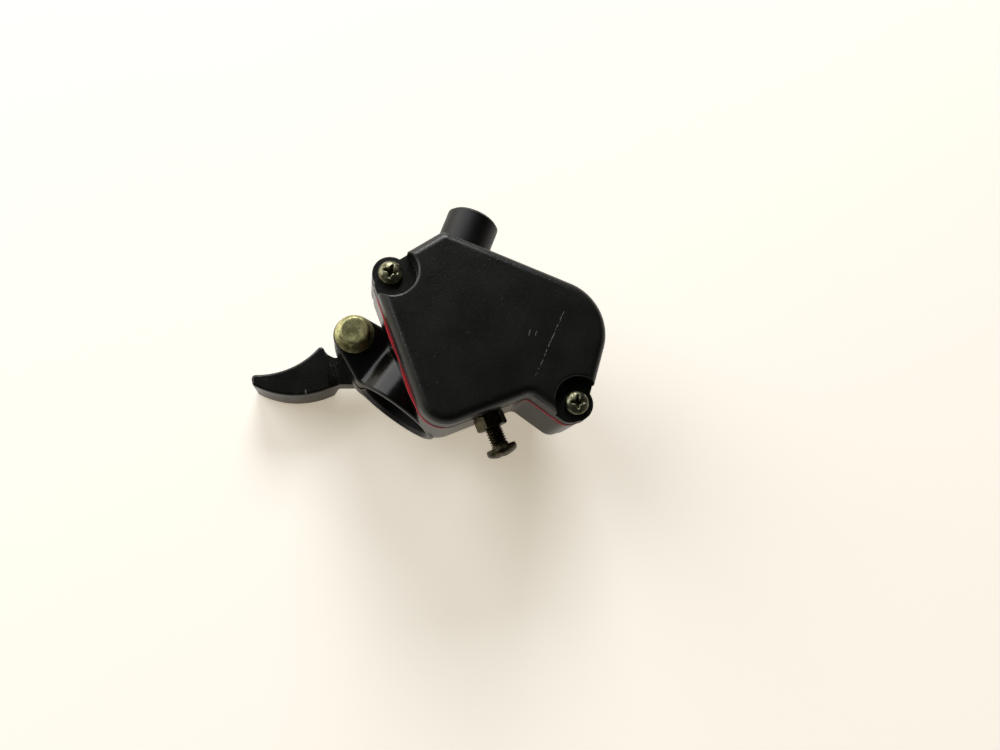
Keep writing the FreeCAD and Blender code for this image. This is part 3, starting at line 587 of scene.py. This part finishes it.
@dataclass
class CrossHeadScrew:
    """Pan-head screw with a tapered cross recess and a rolled thread."""

    name: str
    radius: float
    length: float
    head_radius: float
    head_height: float
    pitch: float
    stance: Stance
    rides: Riding
    thread_from: float = 0.6
    recess_share: float = 0.66
    wing_share: float = 0.19

    def head_outline(self) -> list[tuple[float, float]]:
        """Outline of the head and the shank's run-out, from the axis above to the thread."""
        r, h = self.head_radius, self.head_height
        angles = [step * math.pi / 16 for step in range(9)]
        dome = [(r * math.sin(a), h * 0.42 + h * 0.58 * math.cos(a)) for a in angles]
        under = [(r, h * 0.30), (r - 0.12, 0.10), (r - 0.25, 0.0), (self.radius, 0.0)]
        return [(0.0, dome[0][1])] + dome[1:] + under + [(self.radius, -self.thread_from)]

    def build(self) -> bpy.types.Object:
        """Make the screw's mesh: head, thread, the core's shoulder and the tapered tip."""
        shape = bmesh.new()
        turned(shape, self.head_outline())
        start = -self.thread_from
        turns = int((self.length - self.thread_from) / self.pitch) - 1
        crest, root = self.radius, self.radius - 0.54 * self.pitch
        profile = [
            (crest, start),
            (crest, start - 0.14 * self.pitch),
            (root, start - 0.48 * self.pitch),
            (root, start - 0.64 * self.pitch),
            (crest, start - self.pitch),
        ]
        threaded(shape, profile, self.pitch, turns)
        end = start - turns * self.pitch
        core = crest - 0.02
        shoulder = [(core, start + 0.02), (core, start - 0.1), (root, start - 0.1 - (core - root))]
        turned(shape, shoulder, THREAD_STEPS)
        foot = [(root * 0.95, -self.length + 0.5), (root * 0.7, -self.length), (0, -self.length)]
        turned(shape, [(root, start), (root, end - 0.2)] + foot, THREAD_STEPS)
        return keep_mesh(self.name, shape, self.stance, 40.0)

    def recess(self) -> bpy.types.Object:
        """Make the cutter of the cross recess: four tapered wings about a pointed middle."""
        shape = bmesh.new()
        half = self.head_radius * self.wing_share
        above = 0.5
        tall = self.head_height * 0.95 + above
        bmesh.ops.create_cube(shape, size=1.0)
        bmesh.ops.scale(shape, verts=shape.verts, vec=(2 * half, 2 * half, tall))
        bmesh.ops.translate(shape, verts=shape.verts, vec=(0, 0, self.head_height + above - tall / 2))
        sides = [face for face in shape.faces if abs(face.normal.z) < 0.5]
        grown = bmesh.ops.extrude_discrete_faces(shape, faces=sides)["faces"]
        reach = self.head_radius * self.recess_share - half
        for face in grown:
            middle = face.calc_center_median()
            outward = Vector((middle.x, middle.y, 0)).normalized()
            taper = (1.0 - 0.22 * abs(outward.y), 1.0 - 0.22 * abs(outward.x), 1.0)
            bmesh.ops.translate(shape, verts=face.verts, vec=outward * reach)
            bmesh.ops.scale(shape, verts=face.verts, vec=taper)
        low = min(vert.co.z for vert in shape.verts)
        foot = [vert for vert in shape.verts if vert.co.z < low + WELD]
        bmesh.ops.scale(shape, verts=foot, vec=(0.5, 0.5, 1.0))
        upright = [edge for edge in shape.edges if abs(edge.verts[0].co.z - edge.verts[1].co.z) > above]
        bmesh.ops.bevel(
            shape,
            geom=upright,
            offset=half * 0.35,
            offset_type="OFFSET",
            affect="EDGES",
            segments=2,
            profile=0.5,
            material=-1,
        )
        return keep_mesh(self.name + "_recess", shape, self.stance)

    def make(self) -> bpy.types.Object:
        """Build the screw, cut its recess and set it on its body."""
        screw = carve(self.build(), self.recess())
        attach(screw, self.rides.value)
        return screw


@dataclass
class FlangeBolt:
    """Hexagon flange bolt with a chamfered, slightly dished head."""

    name: str
    radius: float
    length: float
    flats: float
    head: float
    flange_radius: float
    flange: float
    pitch: float
    stance: Stance
    thread_turns: int = 9

    def hexagon(self) -> bpy.types.Object:
        """Make the plain hexagon from inside the flange to the top of the head."""
        shape = bmesh.new()
        corner = self.flats / math.sqrt(3) * 0.999
        foot = self.flange * 0.6
        ring = bmesh.ops.create_circle(shape, cap_ends=True, cap_tris=False, segments=6, radius=corner)
        turn = Matrix.Rotation(math.radians(30), 3, "Z")
        bmesh.ops.rotate(shape, verts=ring["verts"], cent=(0, 0, 0), matrix=turn)
        bmesh.ops.translate(shape, verts=ring["verts"], vec=(0, 0, foot))
        top = bmesh.ops.extrude_face_region(shape, geom=list(shape.faces))["geom"]
        raised = [item for item in top if isinstance(item, bmesh.types.BMVert)]
        bmesh.ops.translate(shape, verts=raised, vec=(0, 0, self.head - foot))
        return keep_mesh(self.name, shape, Stance(), 25.0)

    def crown(self) -> bpy.types.Object:
        """Make the turned body that chamfers the hexagon's corners and dishes its top."""
        shape = bmesh.new()
        corner, high = self.flats / math.sqrt(3), self.head
        reach = corner + 0.2
        side = [(0, -1), (reach, -1), (reach, high * 0.80), (corner, high * 0.80)]
        chamfer = [(corner * 0.93, high * 0.92), (corner * 0.84, high * 0.985), (corner * 0.76, high)]
        dish = [(corner * 0.62, high - 0.06), (0, high - 0.12)]
        turned(shape, side + chamfer + dish, 64)
        return keep_mesh(self.name + "_crown", shape, Stance())

    def head_shape(self) -> bmesh.types.BMesh:
        """Keep what hexagon and crown have in common, in millimetres."""
        hexagon = self.hexagon()
        limit = self.crown()
        common = hexagon.modifiers.new("crown", "BOOLEAN")
        common.operation = "INTERSECT"
        common.solver = "EXACT"
        common.object = limit
        whole = bmesh.new()
        whole.from_mesh(evaluated(hexagon))
        bmesh.ops.scale(whole, verts=whole.verts, vec=(1 / MM,) * 3)
        bpy.data.objects.remove(limit)
        bpy.data.objects.remove(hexagon)
        return whole

    def make(self) -> bpy.types.Object:
        """Build the bolt and set it on the housing."""
        whole = self.head_shape()
        thick, wide = self.flange, self.flange_radius
        rim = [(self.radius, 0), (wide - 0.15, 0), (wide, 0.12), (wide, thick * 0.45)]
        slope = [(wide - 0.2, thick * 0.62), (self.flats * 0.56, thick * 1.05)]
        root_of_head = [(self.flats * 0.49, thick * 1.35), (self.flats * 0.45, thick * 1.3)]
        turned(whole, rim + slope + root_of_head, 64)
        chamfer = 0.6
        shank = [(self.radius, 0), (self.radius, -self.length + chamfer)]
        turned(whole, shank + [(self.radius - 0.5, -self.length), (0, -self.length)], 32)
        crest, root = self.radius + 0.02, self.radius - 0.25
        start = -self.length + chamfer + (self.thread_turns + 1) * self.pitch
        profile = [(crest, start), (root, start - self.pitch / 2), (crest, start - self.pitch)]
        threaded(whole, profile, self.pitch, self.thread_turns)
        bolt = keep_mesh(self.name, whole, self.stance, 30.0)
        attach(bolt, Riding.HOUSING.value)
        return bolt


def heading(degrees: float) -> Vector:
    """Unit vector in plan, turned from +X towards +Y."""
    angle = math.radians(degrees)
    return Vector((math.cos(angle), math.sin(angle)))


def swell(value: float, low: float, high: float, ramp: float) -> float:
    """Smooth bump that is 1 between two values and 0 a ramp outside them."""
    rise = min(max((value - low) / ramp + 0.5, 0.0), 1.0)
    fall = min(max((high - value) / ramp + 0.5, 0.0), 1.0)
    return (rise * rise * (3 - 2 * rise)) * (fall * fall * (3 - 2 * fall))


@dataclass(frozen=True)
class Bulge:
    """A stretch of edge that stands out or in: its size and where it starts and ends, in millimetres."""

    size: float
    low: float
    high: float
    ramp: float

    def at(self, along: float) -> float:
        """How far the edge is moved at a place along the wall."""
        return self.size * swell(along, self.low, self.high, self.ramp)


@dataclass
class Gasket:
    """Hand-cut gasket: squeezed out along the grip wall and shy at the lug and limiter wall."""

    node: str = "cover_gasket"
    pitch: float = 1.6
    grip_heading: float = 55.7
    grip_offset: float = 3.1
    grip_end: float = 12.0
    grip_bulges: tuple[Bulge, ...] = (
        Bulge(0.36, -17.0, -8.0, 6.0),
        Bulge(0.46, -2.5, 6.5, 5.0),
        Bulge(-0.35, -5.8, -4.6, 1.2),
    )
    ripple: float = 0.03
    ripple_rate: float = 1.9
    limiter_heading: float = 147.3
    limiter_offset: float = 17.2
    limiter_bulge: Bulge = Bulge(-0.40, 1.0, 22.0, 4.0)
    lug: Vector = field(default_factory=lambda: Vector((-18.107, -22.463)))
    lug_reach: float = 7.0
    shy: float = 0.40

    def creep(self, point: Vector) -> float:
        """How far the edge stands out beyond its cut line at a plan point, in millimetres."""
        if (point - self.lug).length < self.lug_reach:
            return -self.shy
        grip = heading(self.grip_heading)
        along, out = point.dot(grip), point.x * grip.y - point.y * grip.x
        if out > self.grip_offset - 0.6 and along < self.grip_end:
            ripple = self.ripple * math.sin(along * self.ripple_rate)
            return sum(bulge.at(along) for bulge in self.grip_bulges) + ripple
        outward = heading(self.limiter_heading - 90)
        if point.dot(outward) > self.limiter_offset - 0.3:
            return self.limiter_bulge.at(point.dot(Vector((-outward.y, outward.x))))
        return 0.0

    def make(self) -> bpy.types.Object:
        """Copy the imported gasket, divide it finely in plan and let its outer edge creep."""
        shape = bmesh.new()
        shape.from_mesh(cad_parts[self.node].data)
        bmesh.ops.scale(shape, verts=shape.verts, vec=(1 / MM,) * 3)
        bmesh.ops.remove_doubles(shape, verts=shape.verts, dist=1e-3)
        low = Vector(min(v.co[i] for v in shape.verts) for i in range(3))
        high = Vector(max(v.co[i] for v in shape.verts) for i in range(3))
        for axis, normal in ((0, (1, 0, 0)), (1, (0, 1, 0))):
            place = low[axis] + self.pitch
            while place < high[axis]:
                spot = Vector((0, 0, 0))
                spot[axis] = place
                whole = list(shape.verts) + list(shape.edges) + list(shape.faces)
                bmesh.ops.bisect_plane(shape, geom=whole, dist=WELD, plane_co=spot, plane_no=normal)
                place += self.pitch
        middle = (low + high) / 2
        moves = []
        for vert in shape.verts:
            walls = [face.normal for face in vert.link_faces if abs(face.normal.z) < 0.3]
            if not walls:
                continue
            outward = sum(walls, Vector((0, 0, 0)))
            outward.z = 0
            if outward.length > 1e-6 and outward.dot(vert.co - middle) > 0:
                moves.append((vert, outward.normalized() * self.creep(vert.co.xy)))
        for vert, move in moves:
            vert.co += move
        piece = keep_mesh(self.node + "_detail", shape, Stance())
        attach(piece, Riding.HOUSING.value)
        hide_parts(self.node)
        return piece


@dataclass
class Housing:
    """Base casting, cover, gasket and the fasteners that hold them."""

    rear_screw: Vector = field(default_factory=lambda: Vector((-18.107, -22.463, 24.4)))
    front_screw: Vector = field(default_factory=lambda: Vector((-19.45, 40.9, 24.4)))
    bolt: Vector = field(default_factory=lambda: Vector((-1.7, -22.5, 8.0)))
    bolt_turn: float = 85.0
    boss_axis: tuple[float, float] = (-0.9659, -0.2588)
    boss_start: float = 40.6
    bore_radius: float = 11.2
    cover_marks: tuple[Scratch, ...] = (
        Scratch((-38.0, 22.9), (-17.2, 26.9)),
        Scratch((-27.6, 18.2), (-25.9, 18.9), 0.22, 0.3, 0.8, 0.38, 0.5),
        Scratch((-28.4, 19.9), (-27.0, 20.3), 0.22, 0.3, 0.8, 0.38, 0.4),
    )

    def dress(self) -> None:
        """Give the carried-over nodes their finishes and add the screws."""
        gloss = CastPaint(
            "gloss_black_paint",
            (0.0024, 0.0024, 0.0022),
            (0.10, 0.10, 0.09),
            roughness=0.20,
            pore_mm=0.9,
            pore_depth_mm=0.015,
            specular=0.34,
            duller_beyond=(*self.boss_axis, self.boss_start),
            dull_shaded_bore_mm=self.bore_radius + 0.2,
        )
        satin = CastPaint(
            "satin_black_paint",
            (0.0052, 0.0056, 0.0040),
            (0.24, 0.24, 0.22),
            roughness=0.33,
            marks=self.cover_marks,
        )
        wear(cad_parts["housing_body"], gloss.material())
        wear(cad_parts["top_cover"], satin.material())
        red = MouldedStuff("red_gasket", (0.62, 0.022, 0.035), (0.35, 0.012, 0.020), 0.55, 0.5)
        wear(Gasket().make(), red.material())
        self.add_screws()
        self.add_bolt()
        LOG.info("housing dressed")

    def add_screws(self) -> None:
        """Put in the two M4 cover screws."""
        zinc = PlatedSteel("dark_zinc", (0.27, 0.26, 0.17), (0.09, 0.085, 0.045), 0.30).material()
        places = (("cover_screw_rear", self.rear_screw, 20), ("cover_screw_front", self.front_screw, 35))
        for name, foot, turn in places:
            screw = CrossHeadScrew(
                name + "_detail",
                radius=2.0,
                length=12.0,
                head_radius=3.45,
                head_height=2.5,
                pitch=0.7,
                stance=Stance(foot, turn=turn),
                rides=Riding.HOUSING,
            ).make()
            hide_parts(name)
            wear(screw, zinc)

    def add_bolt(self) -> None:
        """Put in the M5 clamp bolt."""
        olive = PlatedSteel("olive_zinc", (0.42, 0.40, 0.20), (0.24, 0.225, 0.10), 0.40).material()
        bolt = FlangeBolt(
            "clamp_bolt_detail",
            radius=2.5,
            length=18.0,
            flats=8.0,
            head=4.8,
            flange_radius=5.8,
            flange=1.3,
            pitch=0.8,
            stance=Stance(self.bolt, turn=self.bolt_turn),
        ).make()
        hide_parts("clamp_bolt")
        wear(bolt, olive)


@dataclass
class Limiter:
    """Limiter screw and its lock nut."""

    wall_heading: float = 147.3
    foot: Vector = field(default_factory=lambda: Vector((-3.8354, 22.9017, 15.6)))
    head_reach: float = 9.8

    def dress(self) -> None:
        """Build the long screw and finish the nut."""
        outward = heading(self.wall_heading - 90).to_3d()
        black = PlatedSteel("blackened_steel", (0.12, 0.10, 0.055), (0.022, 0.019, 0.010), 0.28)
        steel = black.material()
        screw = CrossHeadScrew(
            "limiter_screw_detail",
            radius=2.5,
            length=30.0,
            head_radius=4.5,
            head_height=2.9,
            pitch=0.8,
            stance=Stance(self.foot + outward * self.head_reach, outward, 45),
            rides=Riding.LIMITER,
            thread_from=0.5,
        ).make()
        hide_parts("limiter_screw")
        wear(screw, steel)
        wear(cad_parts["limiter_lock_nut"], steel)
        LOG.info("limiter dressed")


@dataclass
class Lever:
    """Thumb lever, spindle stack, throttle arm and return spring."""

    spindle: tuple[float, float] = (-0.0322, 0.0238)
    neck: Vector = field(default_factory=lambda: Vector((6.6, -24.4)))
    across_neck: Vector = field(default_factory=lambda: Vector((0.775, 0.632)))
    along_neck: Vector = field(default_factory=lambda: Vector((0.632, -0.775)))
    streaks: int = 5
    streak_step: float = 0.55
    first_streak: float = -0.8
    streak_half: float = 2.7
    nick: Scratch = Scratch((17.4, -27.2), (18.6, -26.0), 0.45, 0.3, 0.8, 0.35, 0.55)

    def paddle_marks(self) -> tuple[Scratch, ...]:
        """Grinding streaks across the ramp of the neck and a nick on the front edge."""
        marks = []
        for index in range(self.streaks):
            middle = self.neck + self.along_neck * (index * self.streak_step + self.first_streak)
            half = self.across_neck * (self.streak_half - 0.3 * (index % 3))
            marks.append(Scratch(tuple(middle - half), tuple(middle + half), 0.16, 0.5, 0.9, 0.50, 0.30))
        return (*marks, self.nick)

    def dress(self) -> None:
        """Finish the lever and everything on its spindle."""
        paint = CastPaint(
            "lever_paint",
            (0.0042, 0.0044, 0.0032),
            (0.20, 0.20, 0.19),
            roughness=0.28,
            pore_mm=0.9,
            pore_depth_mm=0.04,
            marks=self.paddle_marks(),
        )
        bright = TurnedSteel("bright_steel", (0.60, 0.60, 0.61), 0.28, self.spindle)
        bronze = TurnedSteel("bush_bronze", (0.62, 0.40, 0.18), 0.38, self.spindle)
        nylon = MouldedStuff("nylon", (0.70, 0.69, 0.64), (0.60, 0.58, 0.52), 0.5, 0.8)
        rubber = MouldedStuff("seal_rubber", (0.02, 0.02, 0.02), (0.03, 0.03, 0.03), 0.65, 0.5)
        worn_by = (
            (paint, ("thumb_lever",)),
            (bright, ("lever_spindle", "throttle_arm", "thrust_washer", "tab_washer", "arm_nut")),
            (bronze, ("lower_bush", "upper_bush")),
            (nylon, ("spring_collar", "arm_washer")),
            (rubber, ("spindle_seal",)),
        )
        for finish, names in worn_by:
            material = finish.material()
            for name in names:
                wear(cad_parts[name], material)
        wire = PlatedSteel("spring_wire", (0.45, 0.45, 0.46), (0.25, 0.25, 0.25), 0.3)
        wear(ReturnSpring().make(), wire.material())
        LOG.info("lever dressed")


@dataclass
class ReturnSpring:
    """Torsion spring: coil round the collar, lower leg on its post, upper leg bent up into the arm."""

    middle: Vector = field(default_factory=lambda: Vector((-32.2, 23.8, 9.9)))
    wire: float = 0.75
    radius: float = 7.6
    pitch: float = 1.6
    start_deg: float = 90.0
    turns: float = 2.3497
    leg: float = 9.0
    hook_reach: float = 14.0
    bend_radius: float = 1.2
    pin_top: float = 17.5
    steps_per_turn: int = 40

    def make(self) -> bpy.types.Object:
        """Sweep the wire round the coil, draw out its two legs and bend the upper leg up to its pin."""
        shape = bmesh.new()
        circle = {"cap_ends": False, "cap_tris": False, "segments": 16, "radius": self.wire}
        section = bmesh.ops.create_circle(shape, **circle)["verts"]
        upright = Matrix.Rotation(math.pi / 2, 3, "X")
        bmesh.ops.rotate(shape, verts=section, cent=(0, 0, 0), matrix=upright)
        bmesh.ops.translate(shape, verts=section, vec=(self.radius, 0, 0))
        first = list(shape.edges)
        steps = round(self.turns * self.steps_per_turn)
        rise = self.turns * self.pitch
        spun = bmesh.ops.spin(
            shape,
            geom=section + first,
            cent=(0, 0, 0),
            axis=(0, 0, 1),
            dvec=(0, 0, rise / steps),
            angle=2 * math.pi * self.turns,
            steps=steps,
            use_merge=False,
            use_duplicate=False,
        )
        last = self.edges_of(spun["geom_last"])
        self.pull(shape, first, Vector((0, -self.leg, 0)))
        finish = Matrix.Rotation(2 * math.pi * self.turns, 3, "Z")
        tangent = finish @ Vector((0, 1, 0))
        straight = math.sqrt(self.hook_reach**2 - self.radius**2) - self.bend_radius
        last = self.pull(shape, last, tangent * straight)
        end = finish @ Vector((self.radius, 0, 0)) + tangent * straight + Vector((0, 0, rise))
        elbow = bmesh.ops.spin(
            shape,
            geom=list(dict.fromkeys(vert for edge in last for vert in edge.verts)) + last,
            cent=end + Vector((0, 0, self.bend_radius)),
            axis=tangent.cross(Vector((0, 0, 1))),
            dvec=(0, 0, 0),
            angle=math.pi / 2,
            steps=8,
            use_merge=False,
            use_duplicate=False,
        )
        pin = self.pin_top - self.middle.z - rise - self.bend_radius
        self.pull(shape, self.edges_of(elbow["geom_last"]), Vector((0, 0, pin)))
        bmesh.ops.holes_fill(shape, edges=[edge for edge in shape.edges if edge.is_boundary], sides=0)
        stance = Stance(self.middle, turn=self.start_deg)
        piece = keep_mesh("return_spring_detail", shape, stance, 50.0)
        end = tuple((self.middle + Vector((0, 0, rise))) * MM)
        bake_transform(piece)
        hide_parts("return_spring")
        return piece

    @staticmethod
    def edges_of(items: Sequence[Any]) -> list[bmesh.types.BMEdge]:
        """Only the edges among some bmesh elements."""
        return [item for item in items if isinstance(item, bmesh.types.BMEdge)]

    @staticmethod
    def pull(
        shape: bmesh.types.BMesh, rim: list[bmesh.types.BMEdge], move: Vector
    ) -> list[bmesh.types.BMEdge]:
        """Draw an open end of the wire out along a straight leg.

        Args:
            shape: the wire.
            rim: the edges of the open end.
            move: the leg, from its start to its end.

        Returns:
            The edges of the new end.
        """
        drawn = bmesh.ops.extrude_edge_only(shape, edges=rim)["geom"]
        verts = {item for item in drawn if isinstance(item, bmesh.types.BMVert)}
        bmesh.ops.translate(shape, verts=list(verts), vec=move)
        return [edge for edge in ReturnSpring.edges_of(drawn) if verts.issuperset(edge.verts)]


def wear(piece: bpy.types.Object, material: bpy.types.Material) -> None:
    """Put one material on every slot of a piece."""
    if not piece.material_slots:
        piece.data.materials.append(material)
    for slot in piece.material_slots:
        slot.material = material


@dataclass(frozen=True)
class Lamp:
    """A square soft lamp: its place and width in metres, and the white level it gives on the floor."""

    name: str
    place: tuple[float, float, float]
    width: float
    level: float
    colour: Colour

    def hang(self, scene: bpy.types.Scene) -> None:
        """Hang the lamp, aimed at the object."""
        place = Vector(self.place)
        light = bpy.data.lights.new(self.name, "AREA")
        light.size = self.width
        light.color = self.colour
        light.energy = self.level * math.pi**2 * place.length**3 / place.z
        lamp = bpy.data.objects.new(self.name, light)
        aim = (-place).to_track_quat("-Z", "Y").to_matrix().to_4x4()
        lamp.matrix_world = Matrix.Translation(place) @ aim
        scene.collection.objects.link(lamp)


@dataclass
class Studio:
    """Pale floor, soft lamps and the camera of the photograph."""

    camera_at: Vector = field(default_factory=lambda: Vector((45.369, 14.742, 225.044)))
    right: Vector = field(default_factory=lambda: Vector((-0.56058, 0.8083, 0.18)))
    up: Vector = field(default_factory=lambda: Vector((-0.77944, -0.58843, 0.215)))
    back: Vector = field(default_factory=lambda: Vector((0.2797, -0.01977, 0.95988)))
    focal_mm: float = 27.0
    sensor_mm: float = 36.0
    floor_z: float = -28.1
    floor_half_m: float = 1.5
    sheet_tones: tuple[Colour, Colour] = ((0.91, 0.90, 0.885), (0.93, 0.925, 0.915))
    sheet_cloud_mm: float = 120.0
    room: Colour = (0.28, 0.265, 0.24)
    daylight: Colour = (1.50, 1.38, 1.10)
    zenith: Colour = (0.016, 0.017, 0.014)
    sheen_off_floor: Colour = (0.44, 0.38, 0.29)
    sheen_in_gloss: float = 0.5
    lamps: tuple[Lamp, ...] = (
        Lamp("window", (0.10, -1.75, 1.15), 1.60, 0.34, (0.98, 0.99, 1.0)),
        Lamp("second_window", (-1.45, -1.05, 1.15), 0.90, 0.33, (0.98, 0.99, 1.0)),
    )

    def build(self) -> None:
        """Set the camera, floor, lamps and world."""
        scene = bpy.context.scene
        scene.view_settings.view_transform = "Standard"
        self.camera(scene)
        self.floor(scene)
        for lamp in self.lamps:
            lamp.hang(scene)
        self.sky(scene)

    def camera(self, scene: bpy.types.Scene) -> None:
        """Place the camera as the photograph's."""
        lens = bpy.data.cameras.new("photo_camera")
        lens.lens = self.focal_mm
        lens.sensor_width = self.sensor_mm
        lens.sensor_fit = "HORIZONTAL"
        lens.clip_start = 0.005
        lens.clip_end = 20.0
        eye = bpy.data.objects.new("photo_camera", lens)
        turn = Matrix((self.right, self.up, self.back)).transposed()
        eye.matrix_world = Matrix.Translation(self.camera_at * MM) @ turn.to_4x4()
        scene.collection.objects.link(eye)
        scene.camera = eye

    def floor(self, scene: bpy.types.Scene) -> None:
        """Lay a large white sheet under the object."""
        shape = bmesh.new()
        bmesh.ops.create_grid(shape, x_segments=1, y_segments=1, size=self.floor_half_m)
        bmesh.ops.translate(shape, verts=shape.verts, vec=(0, 0, self.floor_z * MM))
        mesh = bpy.data.meshes.new("floor")
        shape.to_mesh(mesh)
        shape.free()
        floor = bpy.data.objects.new("floor", mesh)
        scene.collection.objects.link(floor)
        bench = Bench("white_sheet")
        tone = bench.blend(bench.noise(self.sheet_cloud_mm, 2.0), *self.sheet_tones)
        seen = bench.node("ShaderNodeLightPath", {}, {}, "Is Camera Ray")
        mirrored = bench.node("ShaderNodeLightPath", {}, {}, "Is Glossy Ray") * self.sheen_in_gloss
        glow = bench.blend(seen + mirrored, (0.0, 0.0, 0.0), self.sheen_off_floor)
        material = bench.finish(
            Base_Color=tone,
            Roughness=0.95,
            Specular_IOR_Level=0.0,
            Emission_Color=glow,
            Emission_Strength=1.0,
        )
        wear(floor, material)

    def sky(self, scene: bpy.types.Scene) -> None:
        """Give a world with daylight low in the south, a pale room all round and a dark ceiling."""
        world = bpy.data.worlds.new("studio")
        world.use_nodes = True
        sheet = Sheet(world.node_tree)
        direction = sheet.node("ShaderNodeTexCoord", {}, {}, "Generated")
        height = sheet.node("ShaderNodeSeparateXYZ", {}, {0: direction}, "Z")
        north = sheet.node("ShaderNodeSeparateXYZ", {}, {0: direction}, "Y")
        tone = sheet.blend(north.under(-0.55, 0.8), self.room, self.daylight)
        tone = sheet.blend(height.over(0.32, 0.34), tone, self.zenith)
        light = sheet.node("ShaderNodeBackground", {}, {"Color": tone, "Strength": 1.0})
        sheet.node("ShaderNodeOutputWorld", {}, {"Surface": light}, None)
        scene.world = world


def main() -> None:
    """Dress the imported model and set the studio."""
    logging.basicConfig(level=logging.INFO)
    Housing().dress()
    Limiter().dress()
    Lever().dress()
    Studio().build()


if __name__ == "__main__":
    main()
